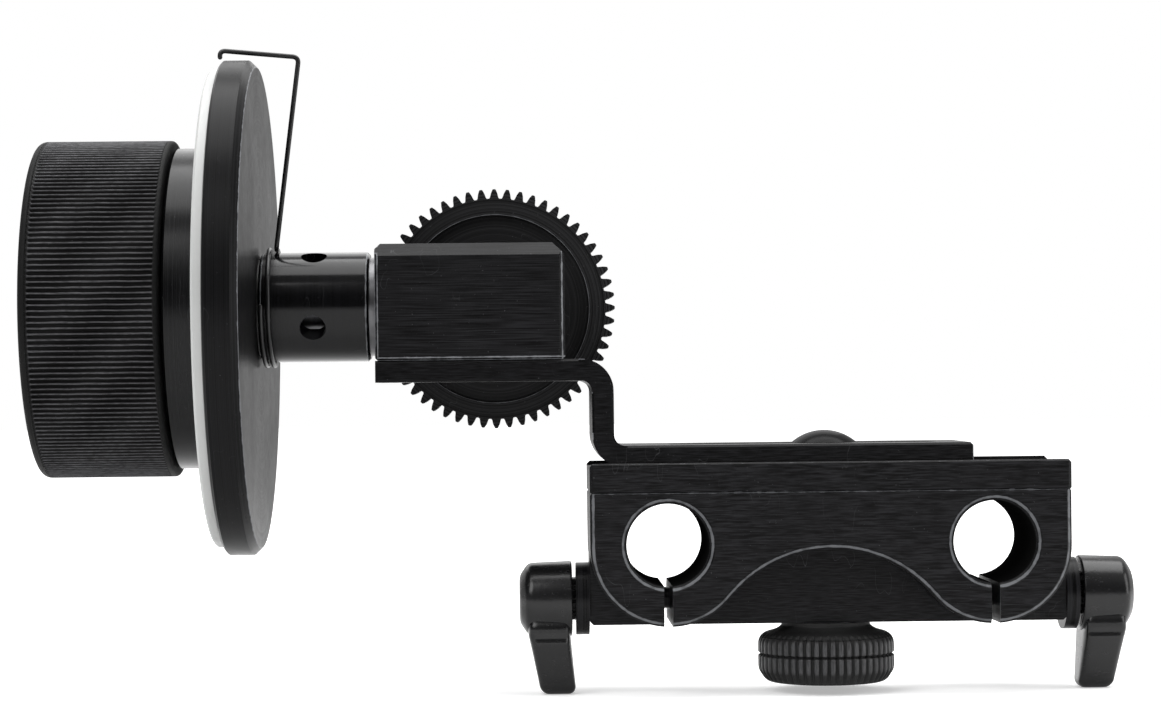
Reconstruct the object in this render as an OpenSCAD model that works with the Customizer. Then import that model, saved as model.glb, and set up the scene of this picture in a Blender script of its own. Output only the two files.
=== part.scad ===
// Follow focus unit for two camera rods.
// A handwheel turns a right-angle gearbox, and the gearbox turns a toothed drive gear. The gearbox
// hangs on a Z-shaped plate that slides on a clamp for two rods.
// Millimetres. The origin is on the axis of the rod bore nearest the handwheel, halfway through the
// clamp. +X points away from the handwheel, +Y runs along the rods towards the drive gear, +Z is up.

/* [Rods] */
// Diameter of a camera rod
rod_d = 15; // [12:0.5:16]
// Distance between the axes of the two rods
rod_pitch = 60; // [54:1:80]
// Radial room between a rod and its bore
rod_room = 0.05; // [0.02:0.01:0.2]

/* [Rod clamp] */
// Depth of the clamp along the rods
clamp_depth = 26; // [26:1:40]
// Radius of the lobe round each bore
lobe_r = 14.5; // [14:0.5:17]
// How far a lobe's centre lies inward of its bore
lobe_in = 0.3; // [0:0.1:1]
// How far a lobe's centre lies below its bore
lobe_drop = 0.5; // [0:0.1:2]
// Height of the clamp body above the bore axes
clamp_rise = 9.5; // [9:0.5:14]
// Thickness of the front and of the rear lobed layer
lobe_t = 7; // [4:0.5:8]
// Depth of the arch's crown below the bore axes
arch_drop = 1.1; // [0.5:0.1:4]
// Chamfer along the lobes and the arch
lobe_chamfer = 1; // [0.4:0.1:1.4]
// Chamfer at the mouth of each bore
mouth_chamfer = 1.1; // [0.4:0.1:1.4]
// Width of the pinch slot under each bore
pinch_w = 1.6; // [1:0.1:2.5]
// Depth of the pinch screws below the bore axes
pinch_drop = 10.4; // [10:0.1:11]
// Length of thread beyond the pinch slot
pinch_grip = 8; // [5:0.5:12]

/* [Top plate] */
// Thickness of the plate on top of the clamp body
plate_t = 5.5; // [4.5:0.5:8]
// Depth of the guide groove in the plate
groove_deep = 0.8; // [0.5:0.1:1.4]
// Distance of the plate's screws from its ends
plate_screw_in = 3.8; // [3.2:0.1:4]
// Distance of the plate's screws from its middle plane
plate_screw_y = 8; // [6:0.5:9]
// Length of the plate's screws
plate_screw_l = 9; // [7:0.5:12]

/* [Bracket] */
// Width of the bent plate
bracket_w = 24; // [22:0.5:24]
// Thickness of the bent plate
bracket_t = 4; // [3:0.5:5]
// Inner radius of its two bends
bend_r = 2; // [1:0.5:3]
// Rise from the lower shelf to the upper shelf
bracket_rise = 16; // [14:0.5:30]
// Distance of the web's face from the first bore's axis
web_x = 9.6; // [6:0.1:12]
// Length of the upper shelf, from the web's face
upper_l = 43.6; // [43.6:0.1:50]
// Length of the lower shelf, from the web's face
lower_l = 65.9; // [65:0.1:80]
// How far the bracket slides away from the handwheel
slide_in = 24; // [10:1:26]
// How far the bracket slides towards the handwheel
slide_out = 16; // [5:1:16]
// Chamfer along the long edges of the plates
edge = 0.4; // [0.2:0.1:0.6]

/* [Clamping bolt] */
// Diameter of the bolt's shank
bolt_d = 6; // [5:0.5:6]
// Radius of its domed head
dome_r = 6.1; // [5.5:0.1:8]
// Height of its domed head
dome_h = 2.3; // [1.5:0.1:3]
// Length of the bolt below the lower shelf
bolt_l = 38.2; // [37:0.1:38.6]
// Outer radius of the thumb nut
nut_r = 12.7; // [12:0.1:16]
// Radius of the thumb nut's neck
nut_neck_r = 8.25; // [8:0.05:9]
// Height of the thumb nut
nut_h = 11.4; // [11:0.1:14]
// Number of ribs round the thumb nut
nut_ribs = 52; // [30:1:60]
// Radius of the nut's washer
nut_washer_r = 7; // [6:0.1:7.4]
// Thickness of the nut's washer
nut_washer_t = 0.6; // [0.4:0.1:1]

/* [Ratchet levers] */
// Diameter of a lever's threaded stud
stud_d = 4; // [3:0.5:5]
// Radius of the collar against the clamp
collar_r = 6.75; // [6:0.05:7]
// Thickness of the collar
collar_t = 2.5; // [2:0.1:3]
// Gap between the collar and the hub
hub_gap = 0.7; // [0.4:0.1:0.9]
// Length of a lever's hub
hub_l = 9.4; // [9.2:0.1:12]
// Radius of the hub at its inner end
hub_r = 7.05; // [6.8:0.05:8]
// Radius of the hub at its outer end
hub_end_r = 6.7; // [6.2:0.05:6.8]
// Reach of the lever's arm below its axis
arm_reach = 17.7; // [15:0.1:26]
// Depth of the arm at the hub
arm_root_t = 12; // [10:0.1:12.4]
// Depth of the arm at its tip
arm_tip_t = 6; // [5:0.1:8]
// Width of the arm at its tip
arm_tip_w = 5.9; // [5:0.1:7]
// Rounding of the arm's edges
arm_round = 1.3; // [0.8:0.1:1.6]
// Length of the splined boss in the hub
spline_l = 2.3; // [1.5:0.1:2.3]
// Radius of the splined boss
spline_r = 4; // [3.5:0.1:4.2]
// Free length of the lever's spring in its seat
lever_spring_l = 4; // [3:0.1:4]

/* [Gearbox] */
// Length of the gearbox
box_l = 34.8; // [34.8:0.1:42]
// Depth of the gearbox housing
box_d = 23; // [23:0.5:30]
// Height of the gearbox
box_h = 21.5; // [21:0.5:28]
// Thickness of the rear cover
cover_t = 3; // [2.5:0.1:5]
// Height of the shafts above the bracket
shaft_h = 10.2; // [10.2:0.1:10.6]
// Distance of the output shaft from the housing's end
output_in = 13; // [13:0.1:14]
// Chamfer along the housing's upper front edge
box_chamfer = 2.3; // [1:0.1:2.5]
// Depth of the housing's front wall
box_wall = 3; // [2.5:0.1:4]

/* [Mitre gears] */
// Number of teeth of each mitre gear
mitre_teeth = 14; // [14:2:18]
// Module of the mitre gears at their large end
mitre_module = 0.9; // [0.8:0.01:0.9]
// Distance of the teeth's small end from the shafts' crossing
mitre_near = 4.2; // [4:0.1:4.4]
// Play between the teeth
mitre_play = 0.16; // [0.1:0.01:0.24]
// Length of a mitre gear's hub
mitre_hub_l = 3.4; // [3:0.1:3.5]
// Radius of a mitre gear's hub
mitre_hub_r = 4.6; // [4:0.1:4.7]

/* [Shafts] */
// Diameter of the input shaft
input_d = 8; // [7:0.5:9]
// Diameter of the shafts inside the mitre gears
mitre_bore = 5; // [4:0.5:5]
// Diameter of the output shaft
output_d = 6; // [5.5:0.5:7]
// Wall of the bushes
bush_t = 1.5; // [1:0.1:2]
// Radial running clearance of a shaft in its bush
run_gap = 0.04; // [0.02:0.01:0.08]
// Clearance between pieces that are fitted to each other
seat_gap = 0.05; // [0.02:0.01:0.08]

/* [Sleeve] */
// Outer diameter of the sleeve
sleeve_d = 20.4; // [19:0.2:24]
// Length of the sleeve outside the gearbox
sleeve_l = 20.3; // [18:0.1:40]
// Diameter of the four cross holes
sleeve_hole_d = 4.8; // [3:0.1:5]
// Distance of the cross holes from the gearbox
sleeve_hole_x = 11.5; // [8:0.1:12]
// Angle of the first cross hole from the front
sleeve_hole_turn = 23.5; // [0:0.5:60]
// Width of the bright ring at the gearbox
ring_w = 1.2; // [0.8:0.1:3]
// Radius of the bright ring
ring_r = 9.2; // [9:0.1:9.6]

/* [Handwheel] */
// Radius of the backing disc
back_r = 46; // [40:0.5:60]
// Thickness of the backing disc
back_t = 6.1; // [5:0.1:8]
// Chamfer on the backing disc's rear edge
back_chamfer = 1.3; // [0.5:0.1:2]
// Radius of the white marking disc
mark_r = 44.5; // [36:0.5:44.5]
// Thickness of the white marking disc
mark_t = 2.1; // [1:0.1:4]
// Radius of the handwheel's neck
neck_r = 29.8; // [28:0.1:30.5]
// Length of the handwheel's neck
neck_l = 6.8; // [6:0.1:10]
// Outer radius of the ribbed grip
grip_r = 31.25; // [30:0.05:36]
// Length of the ribbed grip
grip_l = 24.9; // [20:0.1:40]
// Wall of the ribbed grip
grip_t = 4; // [3:0.1:5]
// Number of ribs round the grip
grip_ribs = 190; // [60:2:200]
// Height of the ribs
rib_h = 0.45; // [0.2:0.05:0.8]
// Rounding of the grip's ends
grip_round = 1.5; // [1:0.1:2]
// Wall of the drum that carries the grip
drum_t = 3.2; // [2.5:0.1:5]
// Thickness of the front cap
cap_t = 2.5; // [1.5:0.1:4]

/* [Drive gear] */
// Number of teeth of the drive gear
gear_teeth = 56; // [40:1:60]
// Module of the drive gear
gear_module = 0.8; // [0.8:0.01:0.85]
// Width of the drive gear
gear_w = 8; // [7:0.5:12]
// Distance of the drive gear from the rear cover
gear_off = 6.4; // [5:0.1:10]
// Width of the solid rim inside the teeth
gear_rim = 3.2; // [2:0.1:5]
// Depth of the dished faces
gear_dish = 1.6; // [0.5:0.1:2.5]
// Radius of the drive gear's hub
gear_hub_r = 6; // [5:0.1:8]

/* [Pointer] */
// Diameter of the pointer's wire
wire_d = 0.9; // [0.7:0.1:1]
// Turns of the pointer's coil round the sleeve
wire_turns = 1.75; // [1.75:1:2.75]
// Distance between the turns
wire_pitch = 1.35; // [1.35:0.05:1.6]
// Gap between the coil and the sleeve
wire_gap = 0.15; // [0.14:0.01:0.3]
// Gap between the pointer and the rim of the backing disc
pointer_gap = 0.8; // [0.3:0.05:3]
// Radius of the pointer's bends
wire_bend = 1.2; // [1:0.1:1.5]
// How far the pointer leans back from the disc at its tip
pointer_lean = 4.5; // [2:0.1:8]

/* [Hidden] */

// Colours of the finishes
black_metal = [0.10, 0.10, 0.11];
black_satin = [0.14, 0.14, 0.15];
black_plastic = [0.07, 0.07, 0.08];
grip_black = [0.12, 0.12, 0.12];
white_plastic = [0.92, 0.92, 0.90];
bright_steel = [0.72, 0.73, 0.75];
brass = [0.80, 0.64, 0.30];
bronze = [0.66, 0.48, 0.28];

// Smoothness of round shapes, and of the small rounded ones
$fn = 96;
small_fn = 32;
// Overshoot of a cutting shape beyond the face that it cuts
cut = 0.5;
// Axial play between faces that slide or turn on each other
face_gap = 0.05;

// Screws: an M3 countersunk screw, an M3 cap screw, an M4 cap screw and small grub screws
m3_r = 1.5;
m3_head_r = 2.8;
m3_head_h = 1.6;
m3_cap_r = 2.75;
m3_cap_h = 3;
m3_key_r = 1.15;
m4_r = 2;
m4_cap_r = 3.5;
m4_cap_h = 4;
m4_key_r = 1.75;
grub_r = 1.2;
grub_key_r = 0.7;
key_deep = 1.3;

// Rod clamp
bore_r = rod_d / 2 + rod_room;
mid_x = rod_pitch / 2;
half_depth = clamp_depth / 2;
clamp_left = lobe_in - lobe_r;
clamp_right = rod_pitch - clamp_left;
clamp_bottom = -lobe_drop - lobe_r;
arch_side = mid_x - lobe_in;
arch_lift = arch_drop - lobe_drop;
arch_r = (arch_side * arch_side + arch_lift * arch_lift - lobe_r * lobe_r) / (2 * (lobe_r - arch_lift));
arch_z = -arch_drop - arch_r;
tangent_x = arch_side / (arch_r + lobe_r);
tangent_z = (arch_z + lobe_drop) / (arch_r + lobe_r);
spine_chamfer = 0.6;
bolt_room = 0.4;

// Top plate
plate_z = clamp_rise;
plate_top = plate_z + plate_t;
groove_z = plate_top - groove_deep;
groove_side = 0.3;
plate_end_chamfer = 0.6;
plate_edge = min(0.3, (clamp_depth - bracket_w) / 2 - groove_side - 0.2);
plate_screw_x = [clamp_left + plate_screw_in, clamp_right - plate_screw_in];

// Bracket
shelf_z = groove_z + face_gap;
shelf_top = shelf_z + bracket_t;
upper_top = shelf_top + bracket_rise;
upper_z = upper_top - bracket_t;
web_right = -web_x;
web_left = web_right - bracket_t;
bend_out = bend_r + bracket_t;
upper_left = web_right - upper_l;
lower_right = web_right + lower_l;
// The end's chamfers are a little larger than the long ones, so that they cross cleanly
bracket_end_edge = edge + 0.1;
neck_w = bolt_d;
neck_room = 0.3;
slot_w = neck_w + 2 * neck_room;
// The square neck's corners stop short of the slot's round ends
slot_spare = neck_w / 2 - sqrt(pow(slot_w / 2, 2) - pow(neck_w / 2, 2)) + neck_room;
slot_left = mid_x - slide_in - slot_spare;
slot_right = mid_x + slide_out + slot_spare;

// Clamping bolt and thumb nut
bolt_r = bolt_d / 2;
bolt_end = shelf_z - bolt_l;
nut_top = clamp_bottom - face_gap;
nut_bottom = nut_top - nut_h;
nut_recess = nut_washer_t + face_gap;
insert_r = bolt_r + 2;
insert_top = nut_top - nut_recess - face_gap;
insert_bottom = bolt_end - 0.6;
nut_floor = insert_bottom - 0.2;
nut_neck_l = 1.2;
nut_shoulder = 4.4;
nut_groove_w = 0.4;
nut_foot = 1.9;
nut_rib_h = 0.5;
nut_mid = nut_top - (nut_shoulder + nut_h - nut_foot) / 2;

// Ratchet levers, laid out outward from the clamp's side, along s
collar_s = face_gap;
boss_s = collar_s + collar_t;
hub_s = boss_s + hub_gap;
hub_end_s = hub_s + hub_l;
web_s = boss_s + spline_l + 0.7;
web_t = 1;
spring_s = web_s + web_t;
head_s = spring_s + lever_spring_l;
lever_screw_h = 1.6;
lever_screw_r = 3.1;
lever_key_r = 1.3;
hub_bulge = 0.9;
stud_r = stud_d / 2;
stud_deep = -clamp_left + pinch_w / 2 + pinch_grip;
arm_top = 3.4;
arm_root_in = 0.2;
arm_root_out = 1.2;
arm_tip_in = -0.7;

// Gearbox
box_right = upper_left + box_l;
box_top = upper_top + box_h;
box_front = -bracket_w / 2;
box_rear = box_front + box_d;
cover_rear = box_rear + cover_t;
shaft_z = upper_top + shaft_h;
output_x = box_right - output_in;
box_small_chamfer = 0.5;
box_end_chamfer = 1;
mitre_r = mitre_module * mitre_teeth / 2;
mitre_room = 0.6;
cavity_r = mitre_tip_slope() * mitre_r + mitre_room;
cavity_front = box_front + box_wall;
cover_screw_in = 4.2;
cover_screw_l = 6;
cover_screw_x = [upper_left + cover_screw_in, box_right - cover_screw_in];
cover_screw_z = [upper_top + cover_screw_in, box_top - cover_screw_in - box_end_chamfer];
housing_screw_l = 9;
housing_screw_y = 8.5;
housing_screw_in = 9.5;
housing_screw_end = 2.5;
housing_screw_at = [[upper_left + housing_screw_in, -housing_screw_y],
    [upper_left + housing_screw_in, housing_screw_y], [box_right - housing_screw_end, 0]];

// Mitre gears: the large end lies one pitch radius from the crossing of the shafts
mitre_back = mitre_r;
mitre_end = mitre_back + mitre_hub_l;
input_washer_t = 0.9;
output_washer_t = 0.5;

// Shafts and bushes
input_r = input_d / 2;
output_r = output_d / 2;
mitre_bore_r = mitre_bore / 2;
input_shoulder = output_x - mitre_end - 2 * face_gap - input_washer_t;
bush_flange_t = 0.6;
spigot_end = input_shoulder - bush_flange_t;
bush_r = input_r + bush_t;
sleeve_bore_r = bush_r + seat_gap;
spigot_r = cavity_r - 0.3;
input_end = output_x - mitre_bore_r - 0.7;
outer_bush_l = 6.7;
inner_bush_l = 7;
output_washer_y = mitre_end + face_gap;
output_shoulder = output_washer_y + output_washer_t + face_gap;
rear_flange_t = 1;
rear_bush_r = output_r + 2 * bush_t;
rear_flange_r = rear_bush_r + 1.2;
boss_l = 3;
boss_rear = cover_rear + boss_l;
boss_r = rear_bush_r + 2;
front_bush_y = box_front + 1;
front_bush_l = 4;
front_bush_r = mitre_bore_r + bush_t;

// Sleeve
ring_left = upper_left - ring_w;
sleeve_right = ring_left;
sleeve_left = sleeve_right - sleeve_l;
sleeve_r = sleeve_d / 2;
sleeve_chamfer = 0.5;
hole_x = upper_left - sleeve_hole_x;
grub_inset = 4.6;
sleeve_grub_x = upper_left + grub_inset;

// Handwheel
back_right = sleeve_left - 0.3;
back_left = back_right - back_t;
mark_left = back_left - mark_t;
neck_left = mark_left - neck_l;
grip_right = neck_left - 0.3;
grip_left = grip_right - grip_l;
grip_in = grip_r - grip_t;
drum_r = grip_in - seat_gap;
drum_in = drum_r - drum_t;
drum_left = grip_left + 0.7;
cap_left = grip_left + 0.3;
cap_r = drum_in - seat_gap;
hub_boss_r = 12;
disc_screw_at = 8;
disc_screw_l = 13;
input_left = neck_left + 2;
wheel_screw_l = 12;
wheel_washer_r = 9;
washer_sink = 0.9;

// Drive gear
gear_front = cover_rear + gear_off;
gear_rear = gear_front + gear_w;
gear_pitch_r = gear_module * gear_teeth / 2;
gear_tip_r = gear_pitch_r + gear_module;
gear_root_r = gear_pitch_r - 1.25 * gear_module;
gear_nose = boss_rear + 0.3;
gear_washer_r = 5;
gear_washer_t = 1;
output_end = gear_rear - 0.3;
gear_screw_l = 8;

// Pointer wire: its coil starts next to the backing disc, and its arm stands straight up
wire_r = wire_d / 2;
coil_r = sleeve_r + wire_gap + wire_r;
coil_steps = 24;
coil_left = sleeve_left + wire_r + 0.1;
arm_x = coil_left + wire_turns * wire_pitch;
arm_tip_x = arm_x + pointer_lean;
over_rim_r = back_r + pointer_gap + wire_r;
pointer_slope = 0.0918;
arm_tip_r = over_rim_r - pointer_slope * (arm_tip_x - back_right);
hook_x = mark_left + 1.2;
hook_r = over_rim_r + pointer_slope * (back_right - hook_x);
hook_drop = 1.25;

// Round bars and cones along each axis
module bar_x(x0, x1, r, r1 = -1) {
    translate([x0, 0, 0])
        rotate([0, 90, 0])
            cylinder(h = x1 - x0, r1 = r, r2 = r1 < 0 ? r : r1);
}

module bar_y(y0, y1, r, r1 = -1) {
    translate([0, y0, 0])
        rotate([-90, 0, 0])
            cylinder(h = y1 - y0, r1 = r, r2 = r1 < 0 ? r : r1);
}

module bar_z(z0, z1, r, r1 = -1) {
    translate([0, 0, z0])
        cylinder(h = z1 - z0, r1 = r, r2 = r1 < 0 ? r : r1);
}

// An outline drawn in X and Z, made solid from y0 to y1
module prism_y(y0, y1) {
    translate([0, y1, 0])
        rotate([90, 0, 0])
            linear_extrude(height = y1 - y0)
                children();
}

// An outline drawn in Y and Z, made solid from x0 to x1
module prism_x(x0, x1) {
    translate([x0, 0, 0])
        rotate([90, 0, 90])
            linear_extrude(height = x1 - x0)
                children();
}

// A profile of [radius, place] points turned round the X axis or the Y axis
module turned_x(points) {
    rotate([0, 90, 0])
        rotate_extrude()
            polygon(points);
}

module turned_y(points) {
    rotate([-90, 0, 0])
        rotate_extrude()
            polygon(points);
}

// Cutters that chamfer a square edge by c
module bevel_x(x0, x1, y, z, c) {
    translate([x0, y, z])
        rotate([45, 0, 0])
            translate([0, -c / sqrt(2), -c / sqrt(2)])
                cube([x1 - x0, c * sqrt(2), c * sqrt(2)]);
}

module bevel_y(y0, y1, x, z, c) {
    translate([x, y0, z])
        rotate([0, 45, 0])
            translate([-c / sqrt(2), 0, -c / sqrt(2)])
                cube([c * sqrt(2), y1 - y0, c * sqrt(2)]);
}

module bevel_z(z0, z1, x, y, c) {
    translate([x, y, z0])
        rotate([0, 0, 45])
            translate([-c / sqrt(2), -c / sqrt(2), 0])
                cube([c * sqrt(2), c * sqrt(2), z1 - z0]);
}

// A countersunk screw that points down, with its flat head at z = 0
module countersunk_screw(length) {
    difference() {
        union() {
            bar_z(-length, -m3_head_h / 2, m3_r);
            bar_z(-m3_head_h, 0, m3_r, m3_head_r);
        }
        translate([0, 0, -key_deep])
            cylinder(h = key_deep + cut, r = m3_key_r, $fn = 6);
    }
}

// Its hole: the countersink and the shank, with a seat clearance all round
module countersunk_hole(length) {
    bar_z(-length - seat_gap, cut, m3_r + seat_gap);
    bar_z(-m3_head_h - seat_gap, 0, m3_r + seat_gap, m3_head_r + 2 * seat_gap);
    bar_z(-seat_gap / 4, cut, m3_head_r + 2 * seat_gap);
}

// A cap screw that points down, with its head standing on z = 0
module cap_screw(r, length, head_r, head_h, key_r) {
    difference() {
        union() {
            bar_z(-length, head_h / 2, r);
            bar_z(0, head_h, head_r);
        }
        translate([0, 0, head_h - key_deep])
            cylinder(h = key_deep + cut, r = key_r, $fn = 6);
    }
}

// A grub screw that points down from z = 0
module grub_screw(length) {
    difference() {
        bar_z(-length, 0, grub_r);
        translate([0, 0, -length / 2])
            cylinder(h = length, r = grub_key_r, $fn = 6);
    }
}

// ---- Rod clamp ----

// Front view of the clamp: two lobes joined over an arch
module lobed_outline() {
    difference() {
        union() {
            translate([clamp_left, -lobe_drop])
                square([clamp_right - clamp_left, clamp_rise + lobe_drop]);
            translate([lobe_in, -lobe_drop + lobe_r * tangent_z])
                square([2 * arch_side, -lobe_r * tangent_z + lobe_drop]);
            for (x = [lobe_in, rod_pitch - lobe_in]) {
                translate([x, -lobe_drop])
                    circle(r = lobe_r);
            }
        }
        translate([mid_x, arch_z])
            circle(r = arch_r);
    }
}

// The pocket in front of the spine, outside the lobes
module clamp_pocket(y0, y1) {
    prism_y(y0, y1)
        difference() {
            translate([clamp_left - cut, clamp_bottom - cut])
                square([clamp_right - clamp_left + 2 * cut, clamp_rise - clamp_bottom]);
            lobed_outline();
        }
}

// Chamfer round one lobe, from its side down to where the arch begins, on the front face
module lobe_bevel() {
    far = 2 * lobe_r;
    translate([lobe_in, 0, -lobe_drop])
        difference() {
            prism_y(-half_depth - cut, -half_depth + lobe_chamfer)
                intersection() {
                    circle(r = lobe_r + lobe_chamfer);
                    polygon([[0, 0], [-far, 0], [-far, -far], [0, -2 * far],
                        [2 * far * tangent_x, 2 * far * tangent_z]]);
                }
            bar_y(-half_depth - 2 * cut, -half_depth + lobe_chamfer,
                lobe_r - lobe_chamfer - 2 * cut, lobe_r);
        }
}

// All chamfers of the front face
module front_bevels() {
    lobe_bevel();
    translate([rod_pitch, 0, 0])
        mirror([1, 0, 0])
            lobe_bevel();
    translate([mid_x, 0, arch_z])
        bar_y(-half_depth - cut, -half_depth + lobe_chamfer, arch_r + lobe_chamfer + cut, arch_r);
    for (x = [clamp_left, clamp_right]) {
        bevel_z(-lobe_drop, clamp_rise + cut, x, -half_depth, lobe_chamfer);
    }
    for (x = [0, rod_pitch]) {
        translate([x, 0, 0])
            bar_y(-half_depth - cut, -half_depth + mouth_chamfer, bore_r + mouth_chamfer + cut, bore_r);
    }
}

module plate_screw_places() {
    for (x = plate_screw_x, y = [-plate_screw_y, plate_screw_y]) {
        translate([x, y, groove_z - seat_gap])
            children();
    }
}

// The hole of one pinch stud, from the clamp's side past the slot
module pinch_hole() {
    translate([0, 0, -pinch_drop])
        bar_x(clamp_left - cut, clamp_left + stud_deep + 1, stud_r + seat_gap);
}

module rod_clamp_body() {
    color(black_metal)
        difference() {
            translate([clamp_left, -half_depth, clamp_bottom])
                cube([clamp_right - clamp_left, clamp_depth, clamp_rise - clamp_bottom]);
            clamp_pocket(-half_depth - cut, -half_depth + lobe_t);
            clamp_pocket(half_depth - lobe_t, half_depth + cut);
            front_bevels();
            mirror([0, 1, 0])
                front_bevels();
            for (x = [clamp_left, clamp_right]) {
                bevel_y(-half_depth - cut, half_depth + cut, x, clamp_bottom, spine_chamfer);
                bevel_y(-half_depth - cut, half_depth + cut, x, clamp_rise, plate_edge);
            }
            for (y = [-half_depth, half_depth]) {
                bevel_x(clamp_left - cut, clamp_right + cut, y, clamp_rise, plate_edge);
            }
            for (x = [0, rod_pitch]) {
                translate([x, 0, 0])
                    bar_y(-half_depth - cut, half_depth + cut, bore_r);
                translate([x - pinch_w / 2, -half_depth - cut, clamp_bottom - cut])
                    cube([pinch_w, clamp_depth + 2 * cut, -clamp_bottom + cut - bore_r / 2]);
            }
            pinch_hole();
            translate([rod_pitch, 0, 0])
                mirror([1, 0, 0])
                    pinch_hole();
            translate([mid_x, 0, 0])
                bar_z(clamp_bottom - cut, clamp_rise + cut, bolt_r + bolt_room);
            plate_screw_places()
                countersunk_hole(plate_screw_l);
        }
}

module clamp_top_plate() {
    color(black_metal)
        difference() {
            translate([clamp_left, -half_depth, plate_z])
                cube([clamp_right - clamp_left, clamp_depth, plate_t]);
            translate([clamp_left - cut, -bracket_w / 2 - groove_side, groove_z])
                cube([clamp_right - clamp_left + 2 * cut, bracket_w + 2 * groove_side, groove_deep + cut]);
            for (x = [clamp_left, clamp_right]) {
                bevel_y(-half_depth - cut, half_depth + cut, x, plate_top, plate_end_chamfer);
                bevel_y(-half_depth - cut, half_depth + cut, x, plate_z, plate_edge);
                for (y = [-half_depth, half_depth]) {
                    bevel_z(plate_z - cut, plate_top + cut, x, y, plate_end_chamfer);
                }
            }
            for (y = [-half_depth, half_depth], z = [plate_z, plate_top]) {
                bevel_x(clamp_left - cut, clamp_right + cut, y, z, plate_edge);
            }
            translate([mid_x, 0, 0])
                bar_z(plate_z - cut, plate_top + cut, bolt_r + bolt_room);
            plate_screw_places()
                countersunk_hole(plate_screw_l);
        }
}

module top_plate_screws() {
    color(black_satin)
        plate_screw_places()
            countersunk_screw(plate_screw_l);
}

// ---- Clamping bolt and thumb nut ----

module carriage_bolt() {
    dome_ball = (dome_r * dome_r + dome_h * dome_h) / (2 * dome_h);
    color(black_satin)
        translate([mid_x, 0, 0]) {
            intersection() {
                translate([0, 0, shelf_top + dome_h - dome_ball + face_gap])
                    sphere(r = dome_ball);
                bar_z(shelf_top + face_gap, shelf_top + 2 * dome_h, 2 * dome_r);
            }
            translate([-neck_w / 2, -neck_w / 2, groove_z + face_gap])
                cube([neck_w, neck_w, bracket_t + 2 * face_gap]);
            bar_z(bolt_end, groove_z + 1, bolt_r);
        }
}

// One row of ribs: a toothed disc
module nut_rib_row(z0, z1) {
    step = 360 / nut_ribs;
    translate([0, 0, z0])
        linear_extrude(height = z1 - z0)
            polygon([for (i = [0 : nut_ribs - 1], p = [[0, nut_r - nut_rib_h - 0.1], [0.3, nut_r],
                    [0.7, nut_r]])
                p[1] * [cos((i + p[0]) * step), sin((i + p[0]) * step)]]);
}

module thumb_nut() {
    core_r = nut_r - nut_rib_h;
    shoulder_z = nut_top - nut_shoulder;
    foot_z = nut_bottom + nut_foot;
    corner = nut_foot;
    color(black_plastic)
        translate([mid_x, 0, 0])
            difference() {
                union() {
                    nut_rib_row(nut_mid + nut_groove_w / 2, shoulder_z);
                    nut_rib_row(foot_z, nut_mid - nut_groove_w / 2);
                    rotate_extrude()
                        polygon(concat(
                            [[0, nut_bottom]],
                            [for (a = [-90 : 15 : 0])
                                [core_r - corner + corner * cos(a), foot_z + corner * sin(a)]],
                            [for (a = [0 : 15 : 90])
                                [core_r - corner + corner * cos(a), shoulder_z + corner * sin(a)]],
                            [[nut_neck_r + 0.8, shoulder_z + corner + 0.2],
                                [nut_neck_r, nut_top - nut_neck_l], [nut_neck_r, nut_top],
                                [0, nut_top]]));
                }
                bar_z(nut_top - nut_recess, nut_top + cut, nut_washer_r + 4 * face_gap);
                bar_z(nut_floor, nut_top, insert_r + seat_gap);
            }
}

module thumb_nut_insert() {
    color(brass)
        translate([mid_x, 0, 0])
            difference() {
                bar_z(insert_bottom, insert_top, insert_r);
                bar_z(insert_bottom - cut, insert_top + cut, bolt_r + run_gap);
            }
}

module thumb_nut_washer() {
    color(bright_steel)
        translate([mid_x, 0, 0])
            difference() {
                bar_z(nut_top - nut_washer_t, nut_top, nut_washer_r);
                bar_z(nut_top - nut_washer_t - cut, nut_top + cut, bolt_r + 0.2);
            }
}

// ---- Ratchet levers ----
// Each is drawn for the left side, outward along -X from the clamp's side, and mirrored for the right

module left_side() {
    translate([clamp_left, 0, -pinch_drop])
        children();
}

module right_side() {
    translate([clamp_right, 0, -pinch_drop])
        mirror([1, 0, 0])
            children();
}

module stud_shape() {
    difference() {
        union() {
            bar_x(-boss_s, -collar_s, collar_r);
            bar_x(-boss_s - spline_l, -boss_s + 0.5, spline_r);
            bar_x(-collar_s - 0.5, stud_deep, stud_r);
        }
        for (i = [0 : 11]) {
            rotate([i * 30, 0, 0])
                translate([0, 0, spline_r + 0.1])
                    bar_x(-boss_s - spline_l - cut, -boss_s - face_gap, 0.6);
        }
        bar_x(-boss_s - spline_l - cut, -boss_s + 1.6, m3_r + seat_gap);
    }
}

module lever_screw_shape() {
    difference() {
        union() {
            bar_x(-head_s - 0.4, -boss_s + 1.2, m3_r);
            bar_x(-head_s - lever_screw_h, -head_s, lever_screw_r);
        }
        rotate([0, 90, 0])
            translate([0, 0, -head_s - lever_screw_h - cut])
                cylinder(h = cut + 1, r = lever_key_r, $fn = 6);
    }
}

module lever_spring_shape() {
    difference() {
        bar_x(-head_s + face_gap, -spring_s - face_gap, lever_screw_r - 0.1);
        bar_x(-head_s - cut, -spring_s + cut, lever_screw_r - 0.8);
    }
}

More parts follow.
